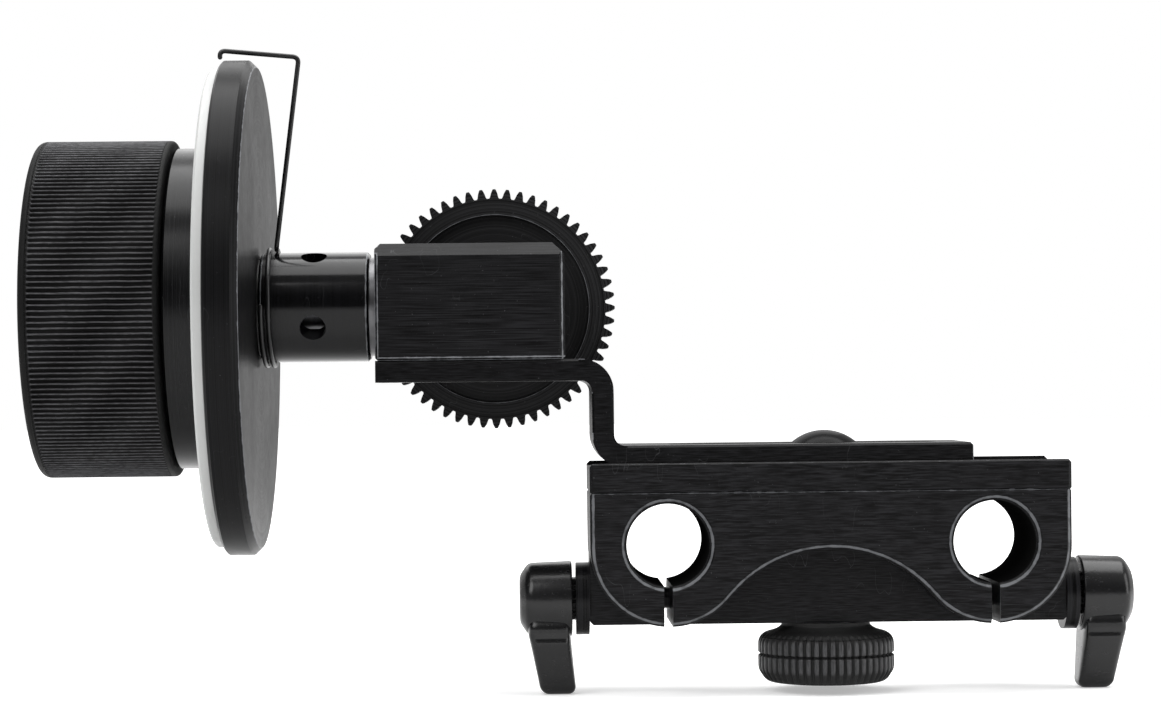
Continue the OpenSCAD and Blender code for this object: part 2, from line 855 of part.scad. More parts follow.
// The hub narrows outward and ends in a shallow dome; the arm hangs from its inner end
module lever_shape() {
    arm_in = -hub_s - arm_root_in - arm_round;
    arm_out = -hub_end_s + arm_root_out + arm_round;
    tip_in = -hub_s - arm_tip_in - arm_round;
    tip_out = -hub_s - arm_tip_w + arm_round;
    root_y = arm_root_t / 2 - arm_round;
    tip_y = arm_tip_t / 2 - arm_round;
    tip_z = -arm_reach + arm_round;
    difference() {
        union() {
            turned_x([[0, -hub_s], [hub_r - 0.3, -hub_s], [hub_r, -hub_s - 0.3],
                [hub_end_r, -hub_end_s + 1.6], [hub_end_r - 0.5, -hub_end_s + 0.6],
                [hub_end_r - 1.5, -hub_end_s], [hub_end_r - 3, -hub_end_s - hub_bulge / 2],
                [0, -hub_end_s - hub_bulge / 2]]);
            hull() {
                for (side = [-1, 1]) {
                    for (x = [arm_in, arm_out]) {
                        translate([x, side * root_y, -arm_top])
                            sphere(r = arm_round, $fn = small_fn / 2);
                    }
                    for (x = [tip_in, tip_out]) {
                        translate([x, side * tip_y, tip_z])
                            sphere(r = arm_round, $fn = small_fn / 2);
                    }
                }
            }
        }
        bar_x(-web_s, -hub_s + cut + 2, spline_r + 0.3);
        bar_x(-spring_s - cut, -web_s + cut, m3_r + 0.2);
        bar_x(-hub_end_s - 2, -spring_s, lever_screw_r + 0.25);
    }
}

module left_lever() {
    color(black_plastic)
        left_side()
            lever_shape();
}

module right_lever() {
    color(black_plastic)
        right_side()
            lever_shape();
}

module left_stud() {
    color(black_satin)
        left_side()
            stud_shape();
}

module right_stud() {
    color(black_satin)
        right_side()
            stud_shape();
}

module left_lever_screw() {
    color(bright_steel)
        left_side()
            lever_screw_shape();
}

module right_lever_screw() {
    color(bright_steel)
        right_side()
            lever_screw_shape();
}

module left_lever_spring() {
    color(bright_steel)
        left_side()
            lever_spring_shape();
}

module right_lever_spring() {
    color(bright_steel)
        right_side()
            lever_spring_shape();
}

// ---- Bracket ----

// A quarter of a ring between two radii, from the start angle on
module quarter_ring(r_in, r_out, start) {
    intersection() {
        difference() {
            circle(r = r_out);
            circle(r = r_in);
        }
        rotate(start)
            square(r_out + cut);
    }
}

module bracket_outline() {
    upper_bend_x = web_right - bend_out;
    lower_bend_x = web_right + bend_r;
    upper_bend_z = upper_top - bend_out;
    lower_bend_z = shelf_top + bend_r;
    translate([upper_left, upper_z])
        square([upper_bend_x - upper_left, bracket_t]);
    translate([upper_bend_x, upper_bend_z])
        quarter_ring(bend_r, bend_out, 0);
    translate([web_left, lower_bend_z])
        square([bracket_t, upper_bend_z - lower_bend_z]);
    translate([lower_bend_x, lower_bend_z])
        quarter_ring(bend_r, bend_out, 180);
    translate([lower_bend_x, shelf_z])
        square([lower_right - lower_bend_x, bracket_t]);
}

// Chamfers along the straight edges of the front face, which stop short of the bends
module bracket_bevels() {
    y = -bracket_w / 2;
    for (z = [upper_top, upper_z]) {
        bevel_x(upper_left - cut, web_right - bend_out - edge, y, z, edge);
    }
    for (z = [shelf_top, shelf_z]) {
        bevel_x(web_right + bend_r + edge, lower_right + cut, y, z, edge);
    }
    for (x = [web_left, web_right]) {
        bevel_z(shelf_top + bend_r + edge, upper_top - bend_out - edge, x, y, edge);
    }
}

module housing_screw_places() {
    for (p = housing_screw_at) {
        translate([p[0], p[1], upper_z + seat_gap])
            rotate([180, 0, 0])
                children();
    }
}

module z_bracket() {
    color(black_metal)
        difference() {
            difference() {
                prism_y(-bracket_w / 2, bracket_w / 2)
                    bracket_outline();
                bracket_bevels();
                mirror([0, 1, 0])
                    bracket_bevels();
            }
            for (z = [shelf_top, shelf_z]) {
                bevel_y(-bracket_w, bracket_w, lower_right, z, bracket_end_edge);
            }
            for (x = [slot_left, slot_right]) {
                translate([x, 0, 0])
                    bar_z(shelf_z - cut, shelf_top + cut, slot_w / 2);
            }
            translate([slot_left, -slot_w / 2, shelf_z - cut])
                cube([slot_right - slot_left, slot_w, bracket_t + 2 * cut]);
            housing_screw_places()
                countersunk_hole(housing_screw_l);
        }
}

module housing_screws() {
    color(black_satin)
        housing_screw_places()
            countersunk_screw(housing_screw_l);
}

// ---- Gearbox ----

module cover_screw_places() {
    for (x = cover_screw_x, z = cover_screw_z) {
        translate([x, cover_rear - seat_gap, z])
            rotate([-90, 0, 0])
                children();
    }
}

// Front view of the housing and its cover, with the chamfers of the edges along Y
module box_outline() {
    s = box_small_chamfer;
    c = box_chamfer - 0.1;
    polygon([[upper_left + s, upper_top], [box_right - s, upper_top], [box_right, upper_top + s],
        [box_right, box_top - c], [box_right - c, box_top],
        [upper_left + box_end_chamfer, box_top], [upper_left, box_top - box_end_chamfer],
        [upper_left, upper_top + s]]);
}

module sleeve_grub_place() {
    translate([sleeve_grub_x, box_rear - face_gap, shaft_z])
        rotate([-90, 0, 0])
            children();
}

// End view of the housing, in Y and Z, with the chamfers of its front edges
module box_end_outline() {
    s = box_small_chamfer;
    polygon([[box_front + s, upper_top], [box_rear, upper_top], [box_rear, box_top],
        [box_front + box_chamfer, box_top], [box_front, box_top - box_chamfer],
        [box_front, upper_top + s]]);
}

// Plan of the housing, in X and Y, with the chamfers of its upright front edges
module box_plan() {
    s = box_small_chamfer;
    polygon([[upper_left, box_front + s], [upper_left + s, box_front],
        [box_right - box_end_chamfer, box_front], [box_right, box_front + box_end_chamfer],
        [box_right, box_rear], [upper_left, box_rear]]);
}

// The housing before it is bored
module housing_block() {
    intersection() {
        prism_y(box_front - cut, box_rear + cut)
            box_outline();
        prism_x(upper_left - cut, box_right + cut)
            box_end_outline();
        translate([0, 0, upper_top - cut])
            linear_extrude(height = box_h + 2 * cut)
                box_plan();
    }
}

// The gears turn in an eight-sided pocket, which the input bore enters from the sleeve's side
module gearbox_housing() {
    color(black_metal)
        difference() {
            housing_block();
            translate([output_x, 0, shaft_z]) {
                prism_y(cavity_front, box_rear + cut)
                    rotate(22.5)
                        circle(r = cavity_r / cos(22.5), $fn = 8);
                bar_y(front_bush_y - face_gap, cavity_front + cut, front_bush_r + seat_gap);
                bar_x(upper_left - output_x - cut, 0, spigot_r + seat_gap);
            }
            sleeve_grub_place()
                bar_z(-box_d / 2, cut, m3_r + seat_gap);
            housing_screw_places()
                countersunk_hole(housing_screw_l);
            cover_screw_places()
                countersunk_hole(cover_screw_l);
        }
}

// The cover before it is bored: its rear edges are chamfered
module cover_plate() {
    difference() {
        prism_y(box_rear, cover_rear)
            box_outline();
        for (z = [upper_top, box_top]) {
            bevel_x(upper_left - cut, box_right + cut, cover_rear, z, box_small_chamfer);
        }
        for (x = [upper_left, box_right]) {
            bevel_z(upper_top - cut, box_top + cut, x, cover_rear, box_small_chamfer);
        }
    }
}

module gearbox_cover() {
    color(black_metal)
        difference() {
            union() {
                cover_plate();
                translate([output_x, 0, shaft_z])
                    bar_y(box_rear + cover_t / 2, boss_rear, boss_r);
            }
            translate([output_x, 0, shaft_z])
                bar_y(box_rear - cut, boss_rear + cut, rear_bush_r + seat_gap);
            cover_screw_places()
                countersunk_hole(cover_screw_l);
        }
}

module cover_screws() {
    color(black_satin)
        cover_screw_places()
            countersunk_screw(cover_screw_l);
}

// ---- Sleeve and bushes ----

module bearing_sleeve() {
    color(black_satin)
        difference() {
            translate([0, 0, shaft_z])
                difference() {
                    union() {
                        turned_x([[0, sleeve_left], [sleeve_r - sleeve_chamfer, sleeve_left],
                            [sleeve_r, sleeve_left + sleeve_chamfer],
                            [sleeve_r, sleeve_right - sleeve_chamfer],
                            [sleeve_r - sleeve_chamfer, sleeve_right], [0, sleeve_right]]);
                        bar_x(sleeve_right - 1, spigot_end, spigot_r);
                    }
                    bar_x(sleeve_left - cut, spigot_end + cut, sleeve_bore_r);
                    for (i = [0 : 3]) {
                        rotate([sleeve_hole_turn + 90 * i, 0, 0])
                            translate([hole_x, 0, 0])
                                bar_y(-sleeve_r - cut, -sleeve_bore_r + cut, sleeve_hole_d / 2);
                    }
                }
            sleeve_grub_place()
                bar_z(-(box_rear - spigot_r) - 1, 0, m3_r + seat_gap);
        }
}

module sleeve_ring() {
    color(bright_steel)
        translate([0, 0, shaft_z])
            difference() {
                bar_x(ring_left, upper_left, ring_r);
                bar_x(ring_left - cut, upper_left + cut, spigot_r + seat_gap);
            }
}

module sleeve_grub_screw() {
    length = box_rear - spigot_r + 0.9;
    color(bright_steel)
        sleeve_grub_place()
            difference() {
                bar_z(-length, -face_gap, m3_r);
                translate([0, 0, -key_deep])
                    cylinder(h = key_deep, r = grub_key_r, $fn = 6);
            }
}

module outer_input_bush() {
    color(bronze)
        translate([0, 0, shaft_z])
            difference() {
                bar_x(sleeve_left + face_gap, sleeve_left + outer_bush_l, bush_r);
                bar_x(sleeve_left - cut, sleeve_left + outer_bush_l + cut, input_r + run_gap);
            }
}

module inner_input_bush() {
    color(bronze)
        translate([0, 0, shaft_z])
            difference() {
                union() {
                    bar_x(spigot_end - inner_bush_l, input_shoulder, bush_r);
                    bar_x(spigot_end, input_shoulder, bush_r + 1.2);
                }
                bar_x(spigot_end - inner_bush_l - cut, input_shoulder + cut, input_r + run_gap);
            }
}

module front_output_bush() {
    color(bronze)
        translate([output_x, 0, shaft_z])
            difference() {
                bar_y(front_bush_y, front_bush_y + front_bush_l, front_bush_r);
                bar_y(front_bush_y - cut, front_bush_y + front_bush_l + cut, mitre_bore_r + run_gap);
            }
}

module rear_output_bush() {
    color(bronze)
        translate([output_x, 0, shaft_z])
            difference() {
                union() {
                    bar_y(output_shoulder, boss_rear, rear_bush_r);
                    bar_y(output_shoulder, box_rear, rear_flange_r);
                }
                bar_y(output_shoulder - cut, boss_rear + cut, output_r + run_gap);
            }
}

// ---- Mitre gears ----
// The flanks are involutes on the back cone of a spur gear with teeth / cos 45 teeth. A point there is
// carried to the plane one unit from the crossing of the shafts, so a tooth is a straight taper.

// Radius, one unit from the crossing, of a point that stands h above the pitch cone
function cone_slope(h) = tan(45 + atan(h / (mitre_r * sqrt(2))));
function mitre_tip_slope() = cone_slope(mitre_module);
// Angle in degrees between the line to an involute's point and the one to its start
function involute(r, base) = let (a = acos(min(1, base / r))) tan(a) * 180 / PI - a;
// Half the width of a tooth in degrees, on the gear itself, h above the pitch cone
function mitre_half(h) =
    let (r = mitre_r * sqrt(2), base = r * cos(20), play = mitre_play / (2 * r) * 180 / PI)
    (90 / (mitre_teeth * sqrt(2)) - play + involute(r, base) - involute(max(r + h, base), base)) * sqrt(2);

module mitre_teeth_solid() {
    step = 360 / mitre_teeth;
    heights = [-1.2, -0.5, 0, 0.5, 0.95] * mitre_module;
    last = len(heights) - 1;
    points = [for (i = [0 : mitre_teeth - 1], k = [0 : 2 * last + 1])
        let (rising = k <= last, h = heights[rising ? k : 2 * last + 1 - k],
            a = i * step + (rising ? -1 : 1) * mitre_half(h), r = cone_slope(h) * mitre_back)
        r * [cos(a), sin(a)]];
    // Drawn with the shafts' crossing at the origin and the teeth narrowing towards it
    translate([0, 0, -mitre_back])
        linear_extrude(height = mitre_back - mitre_near, scale = mitre_near / mitre_back)
            polygon(points);
}

// A mitre gear on the Z axis, below the crossing of the shafts
module mitre_gear_shape() {
    difference() {
        union() {
            mitre_teeth_solid();
            bar_z(-mitre_end, -mitre_back + 0.2, mitre_hub_r);
        }
        bar_z(-mitre_end - cut, 0, mitre_bore_r + seat_gap);
        translate([0, 0, -mitre_end + mitre_hub_l / 2])
            rotate([0, 90, 0])
                bar_z(0, mitre_hub_r + cut, grub_r + seat_gap);
    }
}

module mitre_grub_shape() {
    length = mitre_hub_r - mitre_bore_r - 2 * seat_gap;
    translate([mitre_hub_r - seat_gap, 0, -mitre_end + mitre_hub_l / 2])
        rotate([0, 90, 0])
            grub_screw(length);
}

// The input gear's axis lies along X, and its teeth face the output shaft
module input_place() {
    translate([output_x, 0, shaft_z])
        rotate([0, 90, 0])
            children();
}

// The output gear is turned by half a tooth, so the two are in mesh
module output_place() {
    translate([output_x, 0, shaft_z])
        rotate([90, 0, 0])
            rotate([0, 0, 90 + 180 / mitre_teeth])
                children();
}

module input_mitre_gear() {
    color(bright_steel)
        input_place()
            mitre_gear_shape();
}

module output_mitre_gear() {
    color(bright_steel)
        output_place()
            mitre_gear_shape();
}

module input_grub_screw() {
    color(black_satin)
        input_place()
            mitre_grub_shape();
}

module output_grub_screw() {
    color(black_satin)
        output_place()
            mitre_grub_shape();
}

module input_thrust_washer() {
    color(bronze)
        translate([0, 0, shaft_z])
            difference() {
                bar_x(input_shoulder + face_gap, input_shoulder + face_gap + input_washer_t, bush_r);
                bar_x(input_shoulder - cut, input_shoulder + input_washer_t + cut,
                    mitre_bore_r + seat_gap);
            }
}

module output_thrust_washer() {
    color(bronze)
        translate([output_x, 0, shaft_z])
            difference() {
                bar_y(output_washer_y, output_washer_y + output_washer_t, mitre_hub_r + 0.4);
                bar_y(output_washer_y - cut, output_washer_y + output_washer_t + cut,
                    mitre_bore_r + seat_gap);
            }
}

// ---- Shafts ----

module input_shaft() {
    color(bright_steel)
        translate([0, 0, shaft_z])
            difference() {
                union() {
                    bar_x(input_left, input_shoulder, input_r);
                    bar_x(input_shoulder - 1, input_end, mitre_bore_r);
                }
                bar_x(input_left - cut, input_left + wheel_screw_l, m4_r + seat_gap);
            }
}

module output_shaft() {
    color(bright_steel)
        translate([output_x, 0, shaft_z])
            difference() {
                union() {
                    bar_y(front_bush_y + face_gap, output_shoulder + 1, mitre_bore_r);
                    bar_y(output_shoulder, output_end, output_r);
                }
                bar_y(output_end - gear_screw_l - 1, output_end + cut, m3_r + seat_gap);
            }
}

// ---- Drive gear ----

// One tooth: half its width in degrees at each radius, from root to tip
module drive_gear() {
    step = 360 / gear_teeth;
    flank = [[gear_root_r, 0.40], [gear_root_r + 0.3 * gear_module, 0.335],
        [gear_pitch_r, 0.25], [gear_tip_r - 0.15 * gear_module, 0.13], [gear_tip_r, 0.08]];
    last = len(flank) - 1;
    dish_r = gear_root_r - gear_rim;
    color(black_satin)
        translate([output_x, 0, shaft_z])
            difference() {
                union() {
                    prism_y(gear_front, gear_rear)
                        polygon([for (i = [0 : gear_teeth - 1], k = [0 : 2 * last + 1])
                            let (rising = k <= last, f = flank[rising ? k : 2 * last + 1 - k],
                                a = (i + (rising ? -1 : 1) * f[1]) * step)
                            f[0] * [cos(a), sin(a)]]);
                    bar_y(gear_nose, gear_front + gear_w / 2, gear_hub_r);
                }
                for (y = [gear_front, gear_rear - gear_dish]) {
                    difference() {
                        bar_y(y, y + gear_dish, dish_r);
                        bar_y(y - cut, y + gear_dish + cut, gear_hub_r);
                    }
                }
                bar_y(gear_front - gear_off - cut, gear_rear + cut, output_r + seat_gap);
            }
}

module gear_end_place() {
    translate([output_x, gear_rear + face_gap, shaft_z])
        rotate([-90, 0, 0])
            children();
}

module gear_washer() {
    color(black_satin)
        gear_end_place()
            difference() {
                bar_z(0, gear_washer_t, gear_washer_r);
                bar_z(-cut, gear_washer_t + cut, m3_r + 0.1);
            }
}

module gear_screw() {
    color(black_satin)
        gear_end_place()
            translate([0, 0, gear_washer_t + face_gap])
                cap_screw(m3_r, gear_screw_l, m3_cap_r, m3_cap_h, m3_key_r);
}

// ---- Handwheel ----

module wheel_screw_circle() {
    for (i = [0 : 3]) {
        translate([neck_left - face_gap, 0, shaft_z])
            rotate([45 + 90 * i, 0, 0])
                translate([0, 0, disc_screw_at])
                    rotate([0, -90, 0])
                        children();
    }
}

module backing_disc() {
    color(black_satin)
        difference() {
            translate([0, 0, shaft_z])
                difference() {
                    turned_x([[0, back_left], [back_r - edge, back_left], [back_r, back_left + edge],
                        [back_r, back_right - back_chamfer], [back_r - back_chamfer, back_right],
                        [0, back_right]]);
                    bar_x(back_left - cut, back_right + cut, input_r + seat_gap);
                    bar_x(back_right - washer_sink, back_right + cut, wheel_washer_r + 0.3);
                }
            wheel_screw_circle()
                bar_z(-disc_screw_l - cut, 0, m3_r + seat_gap);
        }
}

module marking_disc() {
    color(white_plastic)
        translate([0, 0, shaft_z])
            difference() {
                turned_x([[0, mark_left], [mark_r - edge, mark_left], [mark_r, mark_left + edge],
                    [mark_r, back_left], [0, back_left]]);
                bar_x(mark_left - cut, back_left + cut, hub_boss_r + seat_gap);
            }
}

module wheel_core() {
    color(black_satin)
        difference() {
            translate([0, 0, shaft_z])
                difference() {
                    union() {
                        turned_x([[0, drum_left], [drum_r, drum_left], [drum_r, neck_left],
                            [neck_r - edge, neck_left], [neck_r, neck_left + edge],
                            [neck_r, mark_left - edge], [neck_r - edge, mark_left], [0, mark_left]]);
                        bar_x(mark_left - 1, back_left, hub_boss_r);
                    }
                    bar_x(drum_left - cut, neck_left, drum_in);
                    bar_x(input_left, back_left + cut, input_r + seat_gap);
                    bar_x(neck_left - cut, input_left + cut, m4_r + 0.1);
                }
            wheel_screw_circle()
                bar_z(-disc_screw_l - cut, cut, m3_r + seat_gap);
        }
}

// The grip: a smooth sleeve with rounded ends, and a ribbed band over it
module wheel_grip() {
    root_r = grip_r - rib_h;
    step = 360 / grip_ribs;
    color(grip_black)
        translate([0, 0, shaft_z])
            difference() {
                union() {
                    turned_x(concat(
                        [[0, grip_left]],
                        [for (a = [90 : -15 : 0])
                            [root_r - grip_round + grip_round * cos(a),
                                grip_left + grip_round - grip_round * sin(a)]],
                        [for (a = [0 : 15 : 90])
                            [root_r - grip_round + grip_round * cos(a),
                                grip_right - grip_round + grip_round * sin(a)]],
                        [[0, grip_right]]));
                    prism_x(grip_left + grip_round, grip_right - grip_round)
                        polygon([for (i = [0 : grip_ribs - 1], p = [[0, root_r - 0.01], [0.5, grip_r]])
                            p[1] * [cos((i + p[0]) * step), sin((i + p[0]) * step)]]);
                }
                bar_x(grip_left - cut, grip_right + cut, grip_in);
            }
}

module wheel_cap() {
    color(black_satin)
        translate([0, 0, shaft_z])
            turned_x([[0, cap_left + 0.8], [cap_r - 3, cap_left + 0.8], [cap_r - 2, cap_left],
                [cap_r - edge, cap_left], [cap_r, cap_left + edge], [cap_r, cap_left + cap_t],
                [0, cap_left + cap_t]]);
}

module wheel_screw() {
    color(bright_steel)
        translate([neck_left - face_gap, 0, shaft_z])
            rotate([0, -90, 0])
                cap_screw(m4_r, wheel_screw_l, m4_cap_r, m4_cap_h, m4_key_r);
}

module disc_screws() {
    color(bright_steel)
        wheel_screw_circle()
            cap_screw(m3_r, disc_screw_l, m3_cap_r, m3_cap_h, m3_key_r);
}

module wheel_thrust_washer() {
    color(white_plastic)
        translate([0, 0, shaft_z])
            difference() {
                bar_x(back_right - washer_sink + face_gap, sleeve_left - face_gap, wheel_washer_r);
                bar_x(back_right - 2 * washer_sink, sleeve_left + cut, input_r + seat_gap);
            }
}

// ---- Pointer ----
// One wire: a coil round the sleeve, a bend outward, a leaning arm, a run over the disc's rim and a hook

// A point of the wire at a place along the shaft, a radius and an angle from the vertical
function on_wire(x, r, a) = [x, -r * sin(a), r * cos(a)];
// Points of a bend between two straight stretches that would meet at corner
function bend(before, corner, after) =
    let (u = (before - corner) / norm(before - corner), v = (after - corner) / norm(after - corner))
    [for (t = [0 : 0.25 : 1])
        corner + wire_bend * ((1 - t) * (1 - t) * u + t * t * v)];

coil_total = coil_steps * wire_turns;
coil_points = [for (i = [0 : coil_total])
    on_wire(coil_left + wire_pitch * i / coil_steps, coil_r, -360 * (coil_total - i) / coil_steps)];
coil_end = coil_points[len(coil_points) - 1];
arm_foot = [arm_x, -2 * wire_bend, coil_r];
arm_top_corner = [arm_tip_x, -2 * wire_bend, arm_tip_r];
hook_corner = [hook_x, -2 * wire_bend, hook_r];
hook_tip = [hook_x + 0.1, -2 * wire_bend, hook_r - hook_drop];
wire_path = concat(coil_points, bend(coil_end, arm_foot, arm_top_corner),
    bend(arm_foot, arm_top_corner, hook_corner), bend(arm_top_corner, hook_corner, hook_tip),
    [hook_tip]);

// Direction of the wire at point i, and a side vector carried along it without twist
function unit(v) = v / norm(v);
function wire_way(p, i) = unit(p[min(i + 1, len(p) - 1)] - p[max(i - 1, 0)]);
function wire_sides(p, i = 0, side = [1, 0, 0], out = []) =
    i == len(p) ? out
    : let (t = wire_way(p, i), s = unit(side - (side * t) * t))
        wire_sides(p, i + 1, s, concat(out, [s]));

// Least gap between turns: points more than half a turn apart, less the wire's own diameter
coil_gap = min([for (i = [0 : coil_total], j = [i + coil_steps / 2 : 1 : coil_total])
    norm(coil_points[i] - coil_points[j])]) - wire_d;
echo(pointer_coil_gap = coil_gap);

module pointer_wire() {
    sides = 6;
    count = len(wire_path);
    side_vectors = wire_sides(wire_path);
    points = [for (i = [0 : count - 1], k = [0 : sides - 1])
        let (t = wire_way(wire_path, i), s = side_vectors[i], b = cross(t, s))
        wire_path[i] + wire_r * (cos(360 * k / sides) * s + sin(360 * k / sides) * b)];
    walls = [for (i = [0 : count - 2], k = [0 : sides - 1])
        let (a = i * sides + k, b = i * sides + (k + 1) % sides)
        each [[a, a + sides, b], [b, a + sides, b + sides]]];
    last = (count - 1) * sides;
    ends = concat([for (k = [1 : sides - 2]) [0, k, k + 1]],
        [for (k = [1 : sides - 2]) [last, last + k + 1, last + k]]);
    color(black_metal)
        translate([0, 0, shaft_z])
            polyhedron(points = points, faces = concat(walls, ends));
}

rod_clamp_body();
clamp_top_plate();
top_plate_screws();
carriage_bolt();
thumb_nut();
thumb_nut_insert();
thumb_nut_washer();
left_lever();
right_lever();
left_stud();
right_stud();
left_lever_screw();
right_lever_screw();
left_lever_spring();
right_lever_spring();
z_bracket();
housing_screws();
gearbox_housing();
gearbox_cover();
cover_screws();
bearing_sleeve();
sleeve_ring();
sleeve_grub_screw();
outer_input_bush();
inner_input_bush();
front_output_bush();
rear_output_bush();
input_shaft();
input_mitre_gear();
input_grub_screw();
input_thrust_washer();
wheel_thrust_washer();
output_shaft();
output_mitre_gear();
output_grub_screw();
output_thrust_washer();
drive_gear();
gear_screw();
gear_washer();
backing_disc();
marking_disc();
wheel_core();
wheel_grip();
wheel_cap();
wheel_screw();
disc_screws();
pointer_wire();
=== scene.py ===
"""Looks of a follow focus unit for two camera rods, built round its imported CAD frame.

The frame's own nodes keep their shapes and get procedural finishes. The ribbed grip, the thumb nut, the
two ratchet levers, their springs and the pointer wire are made here as finer surfaces and stand for
their nodes. Lengths in the classes are in millimetres in the frame's axes: +X away from the handwheel,
+Y away from the camera, +Z up.
"""

import logging
import math
from dataclasses import dataclass
from enum import Enum
from typing import Any, Callable, List, Mapping, Optional, Sequence, Tuple, Union

import bmesh
import bpy
import numpy as np
from mathutils import Matrix, Vector


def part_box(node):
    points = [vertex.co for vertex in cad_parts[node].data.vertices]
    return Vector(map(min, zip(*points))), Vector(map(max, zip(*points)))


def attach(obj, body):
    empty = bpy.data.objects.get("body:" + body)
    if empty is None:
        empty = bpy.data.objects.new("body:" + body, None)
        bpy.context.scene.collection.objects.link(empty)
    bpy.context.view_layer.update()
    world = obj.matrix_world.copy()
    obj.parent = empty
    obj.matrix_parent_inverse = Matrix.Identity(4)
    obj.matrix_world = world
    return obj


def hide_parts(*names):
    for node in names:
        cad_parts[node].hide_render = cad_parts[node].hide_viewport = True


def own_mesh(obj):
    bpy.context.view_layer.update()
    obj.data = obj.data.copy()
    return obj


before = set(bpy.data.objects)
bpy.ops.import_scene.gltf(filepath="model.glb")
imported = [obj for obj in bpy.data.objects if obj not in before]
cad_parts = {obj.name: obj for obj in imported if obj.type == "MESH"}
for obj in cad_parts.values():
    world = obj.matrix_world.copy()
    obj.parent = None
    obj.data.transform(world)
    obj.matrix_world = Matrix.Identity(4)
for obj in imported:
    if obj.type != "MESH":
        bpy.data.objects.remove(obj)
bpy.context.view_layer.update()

LOG = logging.getLogger("follow_focus")
MM = 0.001
Colour = Tuple[float, float, float]
Triple = Tuple[float, float, float]
Surface = Tuple[np.ndarray, np.ndarray]
Swell = Callable[[np.ndarray, np.ndarray, np.ndarray], np.ndarray]

WHITE: Colour = (1.0, 1.0, 1.0)
MATT_BLACK: Colour = (0.005, 0.005, 0.005)
STEEL: Colour = (0.56, 0.57, 0.58)
DARK_STEEL: Colour = (0.13, 0.13, 0.135)
OILED_STEEL: Colour = (0.16, 0.16, 0.17)
BRONZE: Colour = (0.42, 0.27, 0.13)
BRASS: Colour = (0.6, 0.44, 0.18)


def tinted(colour: Colour, share: float) -> Colour:
    """A colour, made darker or lighter by a factor."""
    return tuple(share * c for c in colour)


# ---- Shader maths ----


class Shade:
    """A value in a shader. The usual operators on it add Math nodes."""

    def __init__(self, recipe: "Recipe", socket: bpy.types.NodeSocket) -> None:
        """Wraps a socket.

        Args:
            recipe: the node tree that the socket belongs to.
            socket: the output that holds the value.
        """
        self.recipe = recipe
        self.socket = socket

    def math(self, operation: str, other: Any = None, turned: bool = False) -> "Shade":
        """Adds a Math node.

        Args:
            operation: the node's operation.
            other: the second value, a number or a Shade.
            turned: whether the other value comes first.

        Returns:
            The result's Shade.
        """
        first, second = (other, self) if turned else (self, other)
        values = {0: first} if second is None else {0: first, 1: second}
        return self.recipe.node("ShaderNodeMath", {"operation": operation}, values)

    def __add__(self, other: Any) -> "Shade":
        """Sum."""
        return self.math("ADD", other)

    def __radd__(self, other: Any) -> "Shade":
        """Sum with the number first."""
        return self.math("ADD", other, True)

    def __sub__(self, other: Any) -> "Shade":
        """Difference."""
        return self.math("SUBTRACT", other)

    def __rsub__(self, other: Any) -> "Shade":
        """Difference with the number first."""
        return self.math("SUBTRACT", other, True)

    def __mul__(self, other: Any) -> "Shade":
        """Product."""
        return self.math("MULTIPLY", other)

    def __rmul__(self, other: Any) -> "Shade":
        """Product with the number first."""
        return self.math("MULTIPLY", other, True)

    def __truediv__(self, other: Any) -> "Shade":
        """Quotient."""
        return self.math("DIVIDE", other)

    def __rtruediv__(self, other: Any) -> "Shade":
        """Quotient with the number first."""
        return self.math("DIVIDE", other, True)

    def __abs__(self) -> "Shade":
        """Distance from zero."""
        return self.math("ABSOLUTE")

    def at_least(self, other: Any) -> "Shade":
        """The larger of two values."""
        return self.math("MAXIMUM", other)

    def at_most(self, other: Any) -> "Shade":
        """The smaller of two values."""
        return self.math("MINIMUM", other)

    def root(self) -> "Shade":
        """Square root."""
        return self.math("SQRT")

    def smooth(self, low: float, high: float) -> "Shade":
        """Rises smoothly from 0 at low to 1 at high.

        Args:
            low: the value that gives 0.
            high: the value that gives 1.

        Returns:
            The share between 0 and 1.
        """
        return self.recipe.node(
            "ShaderNodeMapRange",
            {"interpolation_type": "SMOOTHSTEP", "clamp": True},
            {"Value": self, "From Min": low, "From Max": high},
        )


Value = Union[float, Colour, Shade]


